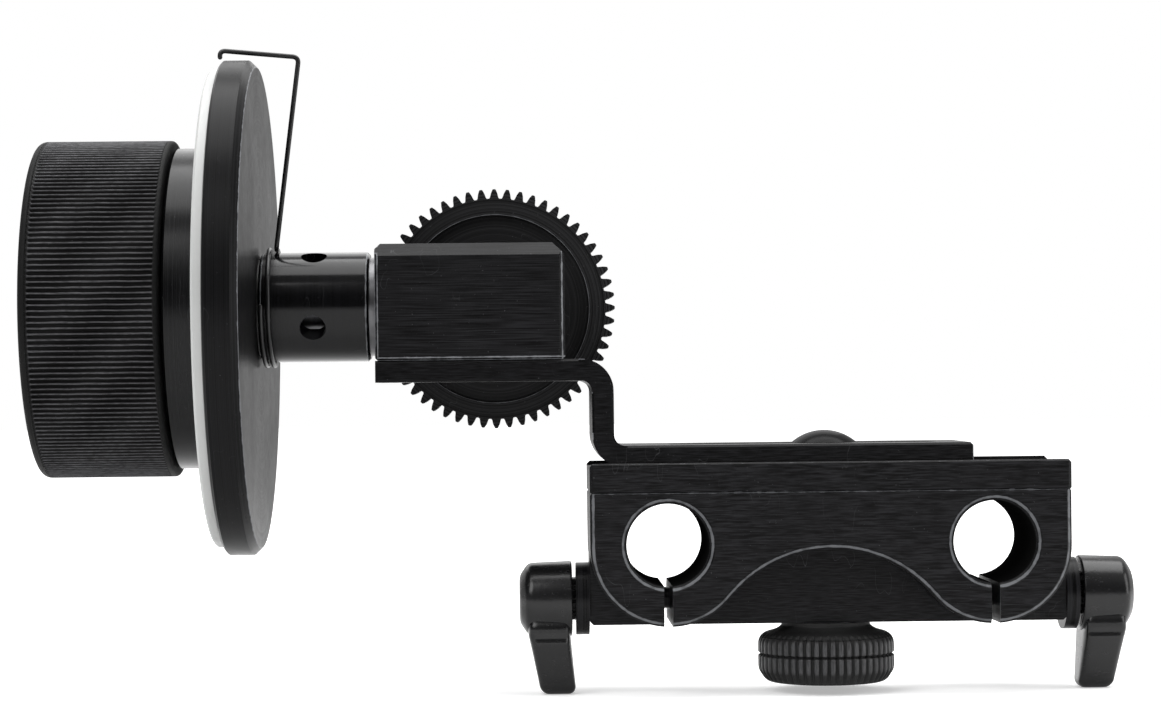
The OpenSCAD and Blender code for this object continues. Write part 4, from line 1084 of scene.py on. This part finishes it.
@dataclass
class ThumbNut:
    """The thumb nut under the clamp, its insert and its washer."""

    centre: Triple = (30.0, 0.0, 0.0)
    top: float = -15.05
    bottom: float = -26.45
    radius: float = 12.7
    neck: float = 8.25
    ribs: int = 52
    rib_height: float = 0.5
    columns_per_rib: int = 10
    seat_radius: float = 7.2
    seat_depth: float = 0.65
    recess_radius: float = 5.05
    recess_depth: float = 9.7

    def profile(self) -> np.ndarray:
        """Section of the nut from the middle of its underside, round its side and into its recess.

        Returns:
            Radius and height of each point.
        """
        top, bottom, radius, neck = self.top, self.bottom, self.radius, self.neck
        shoulder, foot = top - 2.55, bottom + 1.9
        groove, seat, recess = (shoulder + foot) / 2, top - self.seat_depth, top - self.recess_depth
        points = [
            (0.0, bottom + 0.1), (radius - 4.6, bottom), (radius - 1.5, bottom + 0.25),
            (radius, foot + 0.6), (radius, groove - 0.35), (radius - 0.55, groove),
            (radius, groove + 0.35), (radius, shoulder - 0.9), (radius - 0.9, shoulder + 0.35),
            (neck + 1.0, top - 1.5), (neck, top - 0.7), (neck, top), (self.seat_radius, top),
            (self.seat_radius, seat), (self.recess_radius, seat), (self.recess_radius, recess),
            (0.0, recess),
        ]
        radii = [0.0, 1.5, 1.0, 0.8, 0.12, 0.16, 0.12, 0.8, 0.9, 0.8, 0.25, 0.1, 0.1, 0.0, 0.0, 0.0, 0.0]
        section = rounded(points, radii, 5)
        first = section[0]
        return np.concatenate([[[0.0, first[1]]], section[1:]])

    def rib(self, radius: np.ndarray, place: np.ndarray, angle: np.ndarray) -> np.ndarray:
        """Height of the ribs: rounded crests with narrow grooves, only near the outer radius.

        Args:
            radius: radius of each point.
            place: place along the axis; not used.
            angle: angle round it.

        Returns:
            The height, in millimetres.
        """
        outer = np.clip((radius - (self.radius - 1.5)) / 0.9, 0.0, 1.0)
        wave = 0.5 + 0.5 * np.cos(self.ribs * angle)
        return -outer * self.rib_height * (1.0 - np.minimum(1.0, 1.7 * wave))

    def build(self) -> List[bpy.types.Object]:
        """Builds and dresses the sub-assembly.

        Returns:
            Its pieces.
        """
        columns = self.ribs * self.columns_per_rib
        points, faces = spun(self.profile(), columns, Axis.Z, self.centre, False, self.rib)
        nut = new_object("thumb_nut_ribbed", points, faces)
        low, high = self.bottom + 1.0, self.top - 2.0
        # The nut's ribs get the painted highlight on their crests and the painted shade in their grooves.
        nylon = Ribbed(Axis.Z, self.centre, self.radius, low, high, 0.35, painted_crest_highlight=8.0, specular=0.4)
        dress(nut, nylon.material("nut_plastic"))
        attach(nut, "nut")
        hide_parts("thumb_nut")
        turned = Grain(Axis.Z, True, self.centre)
        return [
            nut,
            *dress_nodes(Metal(BRASS, turned).material("nut_brass"), "thumb_nut_insert"),
            *dress_nodes(Metal(STEEL, turned).material("nut_steel"), "thumb_nut_washer"),
        ]


@dataclass
class RatchetLever:
    """One ratchet lever with its spring; places s are counted outward from the clamp's side."""

    side: Side
    face: float
    way: float
    hub_start: float = 3.25
    hub_end: float = 12.65
    hub_radius: float = 7.05
    end_radius: float = 6.7
    spline_radius: float = 4.3
    web_start: float = 5.55
    web_end: float = 6.55
    screw_radius: float = 3.35
    hole_radius: float = 1.7
    arm_root: float = -5.0
    arm_tip: float = -17.675
    arm_rows: int = 26
    root_inset: float = 0.35
    shoulder_inset: float = 1.15
    tip_outer: float = 5.9
    flare: float = 1.0
    taper: float = 0.96
    taper_start: float = -6.5
    root_depth: float = 6.0
    tip_depth: float = 3.0
    squareness: float = 0.32
    hub_inside: float = 5.5
    tip_round: float = 1.6
    tip_inset: float = 1.4
    tip_rows: int = 9
    panel: float = 0.42
    panel_top: float = -7.1
    columns: int = 64
    spring_radius: float = 2.45
    spring_end: float = 10.5
    steps_per_turn: int = 28
    spring_turns: float = 4.5
    spring_wire: float = 0.5

    def hub(self) -> Surface:
        """The hub: a closed section with its outer skin, the screw's seat, the web and the spline bore.

        Returns:
            The points and the faces.
        """
        start, end, r0, r1 = self.hub_start, self.hub_end, self.hub_radius, self.end_radius
        points = [
            (self.spline_radius, start), (r0, start), (r1 + 0.05, end - 1.2), (r1 - 2.4, end + 0.42),
            (self.screw_radius, end + 0.42), (self.screw_radius, self.web_end),
            (self.hole_radius, self.web_end), (self.hole_radius, self.web_start),
            (self.spline_radius, self.web_start),
        ]
        radii = [0.15, 0.45, 1.0, 0.9, 0.2, 0.0, 0.0, 0.0, 0.0]
        profile = rounded(points, radii, 6)
        profile[:, 1] *= self.way
        return spun(profile, 96, Axis.X, (self.face, 0.0, PINCH_Z), True)

    def arm(self) -> Surface:
        """The arm: rounded rectangles that shrink downwards, with a raised panel on each broad face.

        Row by row the half widths run from the root to the tip. A row's outline is a rounded
        rectangle whose front and rear sides stand out by a low bevelled panel. The last rows shrink
        to close the tip, and the first row follows the hub's inside, so that it ends in its wall.

        Returns:
            The points and the faces.
        """
        tip, bend = self.arm_tip + self.tip_round, np.linspace(0.12, np.pi / 2, self.tip_rows)
        straight = np.linspace(self.arm_root, tip, self.arm_rows)
        heights = np.concatenate([straight, tip - self.tip_round * np.sin(bend)])
        inset = np.concatenate([0.0 * straight, self.tip_inset * (1.0 - np.cos(bend))])
        share = np.clip((heights - self.taper_start) / (self.arm_tip - self.taper_start), 0.0, 1.0)
        shoulder = self.hub_end - self.shoulder_inset
        inner = self.hub_start + self.root_inset - self.flare * share
        outer = shoulder - (shoulder - self.hub_start - self.tip_outer) * share**self.taper
        deep = self.root_depth + (self.tip_depth - self.root_depth) * share
        middle, half = (inner + outer) / 2, (outer - inner) / 2
        angle = np.linspace(0.0, 2 * np.pi, self.columns, endpoint=False)[None, :]
        cos, sin = np.cos(angle), np.sin(angle)
        wide = (half - inset)[:, None] * np.sign(cos) * np.abs(cos) ** self.squareness
        thick = (deep - inset)[:, None] * np.sign(sin) * np.abs(sin) ** self.squareness
        panel = np.clip((1.0 - np.abs(wide) / np.maximum(half - inset, 0.3)[:, None]) / 0.3, 0.0, 1.0)
        low = np.clip(heights - tip, 0.0, 1.0)[:, None]
        high = np.clip((self.panel_top - heights) / 0.6, 0.0, 1.0)[:, None]
        raise_by = self.panel * panel * np.minimum(low, high)
        thick = thick + np.sign(sin) * raise_by * (np.abs(sin) > 0.2) - 0.3 * np.sign(sin) * np.abs(sin)
        z = heights[:, None] + 0.0 * angle
        z[0] = -np.sqrt(np.maximum(self.hub_inside**2 - thick[0] ** 2, 3.0**2))
        x = self.face + self.way * (middle[:, None] + wide)
        rows = np.stack([x, thick, z + PINCH_Z], -1)
        crown = rows[:1].mean(axis=1, keepdims=True) * np.ones((1, self.columns, 1))
        crown[..., 2] = PINCH_Z - self.hub_inside
        foot = rows[-1:].mean(axis=1, keepdims=True) * np.ones((1, self.columns, 1))
        rows = np.concatenate([crown, rows, foot])
        return rows.reshape(-1, 3), grid_faces(len(rows), self.columns, False, True)

    def spring(self) -> bpy.types.Object:
        """The spring behind the web: a round wire on a helix whose end turns lie flat.

        Returns:
            The piece.
        """
        turn = np.linspace(0.0, self.spring_turns, int(self.spring_turns * self.steps_per_turn))
        start = self.web_end + 0.05 + self.spring_wire / 2
        end = self.spring_end - self.spring_wire / 2
        rise = np.clip((turn - 0.75) / (self.spring_turns - 1.5), 0.0, 1.0)
        place = start + (end - start) * rise
        path = np.stack([
            self.face + self.way * place,
            self.spring_radius * np.cos(2 * np.pi * turn),
            PINCH_Z + self.spring_radius * np.sin(2 * np.pi * turn),
        ], 1)
        points, faces = tube(path, self.spring_wire / 2, 10)
        piece = new_object(f"{self.side.value}_coil_spring", points, faces)
        grain = Grain(Axis.X, True, (self.face, 0.0, PINCH_Z))
        dress(piece, Metal(STEEL, grain).material(f"{self.side.value}_spring_steel"))
        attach(piece, f"{self.side.value}_handle")
        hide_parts(f"{self.side.value}_lever_spring")
        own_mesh(piece)
        return piece

    def build(self) -> List[bpy.types.Object]:
        """Builds and dresses the sub-assembly.

        Returns:
            Its pieces.
        """
        points, faces = joined([self.hub(), self.arm()])
        lever = new_object(f"{self.side.value}_lever_moulded", points, faces)
        dress(lever, Plastic(roughness=0.22).material(f"{self.side.value}_lever_plastic"))
        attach(lever, f"{self.side.value}_handle")
        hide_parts(f"{self.side.value}_lever")
        grain = Grain(Axis.X, True, (self.face, 0.0, PINCH_Z))
        stud = Anodised(grain, roughness=0.3).material(f"{self.side.value}_stud_black")
        steel = Metal(STEEL, grain).material(f"{self.side.value}_screw_steel")
        return [
            lever,
            *dress_nodes(stud, f"{self.side.value}_stud"),
            *dress_nodes(steel, f"{self.side.value}_lever_screw"),
            self.spring(),
        ]


@dataclass
class Pointer:
    """The bent wire that points at the marking disc."""

    wire: float = 0.9
    coil_left: float = -74.15
    coil_radius: float = 10.8
    pitch: float = 1.35
    turns: float = 1.75
    lean: float = 4.5
    rim_x: float = -75.0
    rim_radius: float = 47.25
    slope: float = 0.0918
    bend: float = 1.2
    hook_x: float = -82.0
    hook_drop: float = 1.25
    hook_lean: float = 0.1
    steps_per_turn: int = 64

    def corner(self, before: np.ndarray, at: np.ndarray, after: np.ndarray) -> np.ndarray:
        """A bend: a quadratic curve between points one bend length before and after the corner.

        Args:
            before: a point on the first stretch.
            at: the corner.
            after: a point on the second stretch.

        Returns:
            Points of the bend.
        """
        t = np.linspace(0.0, 1.0, 9)[:, None]
        u = (before - at) / np.linalg.norm(before - at)
        v = (after - at) / np.linalg.norm(after - at)
        return at + self.bend * ((1 - t) ** 2 * u + t**2 * v)

    def path(self) -> np.ndarray:
        """Centre line: the coil, the leaning arm, the run over the rim and the hook.

        Returns:
            Its points, one row each.
        """
        turn = np.linspace(0.0, self.turns, int(self.turns * self.steps_per_turn) + 1)
        angle = -2 * np.pi * (self.turns - turn)
        coil = np.stack([
            self.coil_left + self.pitch * turn,
            -self.coil_radius * np.sin(angle),
            self.coil_radius * np.cos(angle),
        ], 1)
        arm_x = self.coil_left + self.turns * self.pitch
        y = -2 * self.bend
        foot = np.array([arm_x, y, self.coil_radius])
        top_x = arm_x + self.lean
        top = np.array([top_x, y, self.rim_radius - self.slope * (top_x - self.rim_x)])
        hook = np.array([self.hook_x, y, self.rim_radius + self.slope * (self.rim_x - self.hook_x)])
        end = hook + np.array([self.hook_lean, 0.0, -self.hook_drop])
        line = np.concatenate([
            coil, self.corner(coil[-1], foot, top), self.corner(foot, top, hook),
            self.corner(top, hook, end), end[None],
        ])
        return line + np.array([0.0, 0.0, SHAFT_Z])

    def build(self) -> List[bpy.types.Object]:
        """Builds and dresses the sub-assembly.

        Returns:
            Its pieces.
        """
        points, faces = tube(self.path(), self.wire / 2, 16)
        piece = new_object("pointer_round_wire", points, faces)
        dress(piece, Plastic(roughness=0.3, uneven=0.01, dust=0.4).material("wire_black"))
        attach(piece, "pointer")
        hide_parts("pointer_wire")
        return [piece]


@dataclass
class Clamp:
    """The rod clamp: body, top plate, their screws and the carriage bolt."""

    bores_x: Tuple[float, float] = (0.0, 60.0)
    bore_radius: float = 7.55
    bevel: Tuple[float, float] = (12.5, 12.68)
    bolt: Triple = (30.0, 0.0, 0.0)

    def build(self) -> List[bpy.types.Object]:
        """Dresses the sub-assembly.

        Returns:
            Its pieces.
        """
        along = Grain(Axis.X)
        # The bores' walls get painted shade as plain matt black.
        bores = tuple(RingEdge(Axis.Y, (x, 0.0, 0.0), self.bore_radius) for x in self.bores_x)
        inner, outer = self.bevel
        body_edges = (
            BoxEdges(*corners("rod_clamp_body")), Band(Axis.Y, -outer, -inner), Band(Axis.Y, inner, outer)
        )
        body = Anodised(along, 0.3, body_edges, bores, roughness=0.4, marks=0.003, wear=0.34)
        plate = Anodised(along, 0.3, (BoxEdges(*corners("clamp_top_plate")),), roughness=0.38)
        bolt = Anodised(
            Grain(Axis.Z, True, self.bolt), roughness=0.2, marks=0.002, specular=0.12, veil=0.6
        )
        screws = Anodised(Grain(Axis.Z), roughness=0.3, specular=0.35)
        return [
            *dress_nodes(body.material("clamp_anodised"), "rod_clamp_body"),
            *dress_nodes(plate.material("plate_anodised"), "clamp_top_plate"),
            *dress_nodes(bolt.material("bolt_oxide"), "carriage_bolt"),
            *dress_nodes(screws.material("screw_oxide"), "top_plate_screws"),
        ]


@dataclass
class Carriage:
    """The bracket, the gearbox and the sleeve, with what is fixed in them.

    The rails give the axis, start, end and place of the bracket's straight edges.
    """

    half_depth: float = 12.0
    rails: Tuple[Tuple[Axis, float, float, float], ...] = (
        (Axis.X, -4.0, 56.3, 18.25),
        (Axis.X, -8.0, 56.3, 14.25),
        (Axis.X, -53.2, -15.0, 34.25),
        (Axis.X, -53.2, -19.0, 30.25),
        (Axis.Z, 19.5, 28.0, -13.6),
        (Axis.Z, 24.0, 29.0, -9.6),
        (Axis.Z, 14.25, 18.25, 56.3),
    )
    box_chamfer: float = 0.5
    cover_rear: float = 14.0
    sleeve_radius: float = 10.2
    sleeve_ends: Tuple[float, float] = (-74.2, -54.9)

    def build(self) -> List[bpy.types.Object]:
        """Dresses the sub-assembly.

        Returns:
            Its pieces.
        """
        along, turned = Grain(Axis.X), Grain(Axis.X, True, SHAFT)
        rails = tuple(Rail(axis, start, end, self.half_depth, at) for axis, start, end, at in self.rails)
        box = BoxEdges(*corners("gearbox_housing"), self.box_chamfer)
        low, high = corners("gearbox_cover")
        cover = BoxEdges(low, (high[0], self.cover_rear, high[2]), self.box_chamfer)
        ends = tuple(RingEdge(Axis.X, (x, 0.0, SHAFT_Z), self.sleeve_radius) for x in self.sleeve_ends)
        bracket = Anodised(along, 0.3, rails, black=(0.002, 0.002, 0.0022), roughness=0.36, specular=0.08)
        deep = (0.0012, 0.0012, 0.0014)
        sleeve = Anodised(
            turned, 0.3, ends, black=deep, roughness=0.14, marks=0.002, specular=0.22, dust=0.6
        )
        housing = Anodised(along, 0.1, (box,), roughness=0.34, marks=0.006)
        screws = Anodised(Grain(Axis.Z), roughness=0.3, specular=0.35)
        plain, ring = Anodised(along, 0.3, (cover,), roughness=0.36), Metal(DARK_STEEL, turned, 0.3)
        bronze = Metal(BRONZE, turned, 0.4)
        return [
            *dress_nodes(bracket.material("bracket_anodised"), "z_bracket"),
            *dress_nodes(housing.material("housing_brushed"), "gearbox_housing"),
            *dress_nodes(plain.material("cover_anodised"), "gearbox_cover"),
            *dress_nodes(sleeve.material("sleeve_anodised"), "bearing_sleeve"),
            *dress_nodes(ring.material("ring_steel"), "sleeve_ring", "sleeve_grub_screw"),
            *dress_nodes(
                bronze.material("bush_bronze"),
                "outer_input_bush", "inner_input_bush", "front_output_bush", "rear_output_bush",
            ),
            *dress_nodes(screws.material("box_screw_oxide"), "housing_screws", "cover_screws"),
        ]


@dataclass
class Drive:
    """The output shaft, its mitre gear and the drive gear."""

    face_y: float = 20.4
    dish_radius: float = 18.2

    def build(self) -> List[bpy.types.Object]:
        """Dresses the sub-assembly.

        Returns:
            Its pieces.
        """
        turned = Grain(Axis.Y, True, OUTPUT)
        dish = (RingEdge(Axis.Y, (OUTPUT_X, self.face_y, SHAFT_Z), self.dish_radius),)
        gear = Anodised(
            turned, 0.3, dish, black=(0.006, 0.006, 0.0063), roughness=0.42, marks=0.004, wear=0.25
        )
        steel, bronze = Metal(STEEL, turned), Metal(BRONZE, turned, 0.4)
        oxide = Anodised(turned, roughness=0.28, specular=0.35)
        return [
            *dress_nodes(gear.material("gear_acetal"), "drive_gear"),
            *dress_nodes(
                steel.material("output_steel"), "output_shaft", "output_mitre_gear", "output_grub_screw"
            ),
            *dress_nodes(bronze.material("output_bronze"), "output_thrust_washer"),
            *dress_nodes(oxide.material("gear_screw_oxide"), "gear_screw", "gear_washer"),
        ]


# ---- Studio ----


RAYS = ("Is Camera Ray", "Is Glossy Ray", "Is Transmission Ray")


@dataclass
class Studio:
    """The floor, the lamps, the white surroundings and the camera at the photo's viewpoint."""

    floor_z: float = -28.15
    camera_at: Triple = (-26.7, -547.75, 28.9)
    focal_px: float = 2929.0
    photo_px: int = 1161
    yaw: float = 1.183
    pitch: float = 0.577
    roll: float = 0.6
    room_level: float = 0.08
    backdrop_level: float = 0.75
    ceiling_level: float = 0.4
    soft_level: float = 0.45
    mirrored_floor: float = 0.3
    lamps: Tuple[Tuple[str, Triple, Triple, Tuple[float, float], float], ...] = (
        ("key", (-420.0, -520.0, 520.0), (-20.0, 0.0, 20.0), (0.5, 0.5), 3.6),
        ("top", (0.0, 60.0, 700.0), (0.0, 0.0, 20.0), (0.9, 0.6), 8.0),
        ("right", (620.0, -260.0, 240.0), (20.0, 0.0, 20.0), (0.35, 0.6), 2.2),
        ("rear", (-100.0, 620.0, 420.0), (-20.0, 0.0, 20.0), (0.7, 0.4), 1.0),
    )
    floor_half: float = 4000.0
    floor_white: float = 0.8
    floor_dim: float = 0.4
    floor_fade: Tuple[float, float] = (180.0, 600.0)

    def camera(self) -> None:
        """Places the camera: it looks along +Y, turned by yaw, pitch and roll."""
        data = bpy.data.cameras.new("camera")
        data.sensor_width = 36.0
        data.lens = data.sensor_width * self.focal_px / self.photo_px
        data.clip_start, data.clip_end = 0.01, 50.0
        made = bpy.data.objects.new("camera", data)
        bpy.context.scene.collection.objects.link(made)
        yaw, pitch = math.radians(self.yaw), math.radians(self.pitch)
        ahead = Vector((
            math.sin(yaw) * math.cos(pitch), math.cos(yaw) * math.cos(pitch), math.sin(pitch)
        ))
        roll = Matrix.Rotation(-math.radians(self.roll), 3, "Z")
        turn = ahead.to_track_quat("-Z", "Y").to_matrix() @ roll
        made.matrix_world = Matrix.Translation(Vector(self.camera_at) * MM) @ turn.to_4x4()
        bpy.context.scene.camera = made

    def lamp(self, name: str, at: Triple, aim: Triple, size: Tuple[float, float], watts: float) -> None:
        """Adds a soft box.

        Args:
            name: the lamp's name.
            at: its place, in millimetres.
            aim: the point that it faces.
            size: its width and height, in metres.
            watts: its power.
        """
        data = bpy.data.lights.new(name, "AREA")
        data.shape = "RECTANGLE"
        data.size, data.size_y = size
        data.energy = watts
        made = bpy.data.objects.new(name, data)
        place = Vector(at) * MM
        way = (Vector(aim) * MM - place).to_track_quat("-Z", "Y").to_matrix().to_4x4()
        made.matrix_world = Matrix.Translation(place) @ way
        bpy.context.scene.collection.objects.link(made)

    def seen_white(self, recipe: Recipe) -> Shade:
        """1 for camera and transmission rays, less for glossy rays, else 0.

        Args:
            recipe: the tree that it is worked out in.

        Returns:
            The share of white.
        """
        camera, glossy, clear = recipe.outputs("ShaderNodeLightPath", RAYS)
        return (camera + glossy * self.mirrored_floor + clear).at_most(1.0)

    def floor(self) -> None:
        """A wide plain floor: a matt sheet that also glows a little for the rays that see it."""
        t = np.linspace(-self.floor_half, self.floor_half, 3)
        x, y = np.meshgrid(t, t)
        points = np.stack([x, y, np.full_like(x, self.floor_z)], -1).reshape(-1, 3)
        piece = new_object("floor", points, grid_faces(3, 3, False, False), False)
        recipe = Recipe("floor_paper")
        paper = recipe.node("ShaderNodeBsdfDiffuse", sockets={"Color": tinted(WHITE, self.floor_white)})
        radius, _ = recipe.around(Axis.Z, (0.0, 0.0, 0.0))
        level = radius.smooth(*self.floor_fade) * (1.0 - self.floor_dim) + self.floor_dim
        glow = recipe.node(
            "ShaderNodeEmission",
            sockets={"Color": WHITE, "Strength": self.seen_white(recipe) * level},
        )
        both = recipe.node("ShaderNodeAddShader", sockets={0: paper, 1: glow})
        recipe.node("ShaderNodeOutputMaterial", sockets={"Surface": both})
        dress(piece, recipe.material)

    def world(self) -> None:
        """White where the camera sees it, white backdrop and ceiling but a dim room in reflections.

        The room in front of the object is darker than the backdrop behind it, so what faces the
        camera mirrors little. The level depends on the direction in the room alone.
        """
        recipe = Recipe("studio", world=True)
        camera, glossy, clear = recipe.outputs("ShaderNodeLightPath", RAYS)
        way = recipe.node("ShaderNodeTexCoord")
        ahead, up = recipe.outputs("ShaderNodeSeparateXYZ", (1, 2), {0: way})
        open_side = (ahead.smooth(-0.1, 0.5) * self.backdrop_level).at_least(
            up.smooth(0.35, 0.8) * self.ceiling_level
        )
        mirrored = open_side * (1.0 - self.room_level) + self.room_level
        seen = camera.at_least(clear)
        level = seen.at_least(glossy * mirrored).at_least((1.0 - glossy) * self.soft_level)
        white = recipe.node("ShaderNodeBackground", sockets={"Color": WHITE, "Strength": level})
        recipe.node("ShaderNodeOutputWorld", sockets={"Surface": white})
        bpy.context.scene.world = recipe.material

    def build(self) -> None:
        """Builds the whole studio."""
        self.floor()
        self.world()
        for lamp in self.lamps:
            self.lamp(*lamp)
        self.camera()
        bpy.context.scene.view_settings.view_transform = "Standard"


def main() -> None:
    """Builds the sub-assemblies in order and reports each piece."""
    logging.basicConfig(level=logging.INFO, format="%(name)s: %(message)s")
    parts = [
        Clamp(),
        ThumbNut(),
        RatchetLever(Side.LEFT, -14.2, -1.0),
        RatchetLever(Side.RIGHT, 74.2, 1.0),
        Carriage(),
        Drive(),
        Handwheel(),
        Pointer(),
    ]
    for part in parts:
        for piece in part.build():
            LOG.info("%s: %d faces", piece.name, len(piece.data.polygons))
    Studio().build()


if __name__ == "__main__":
    main()
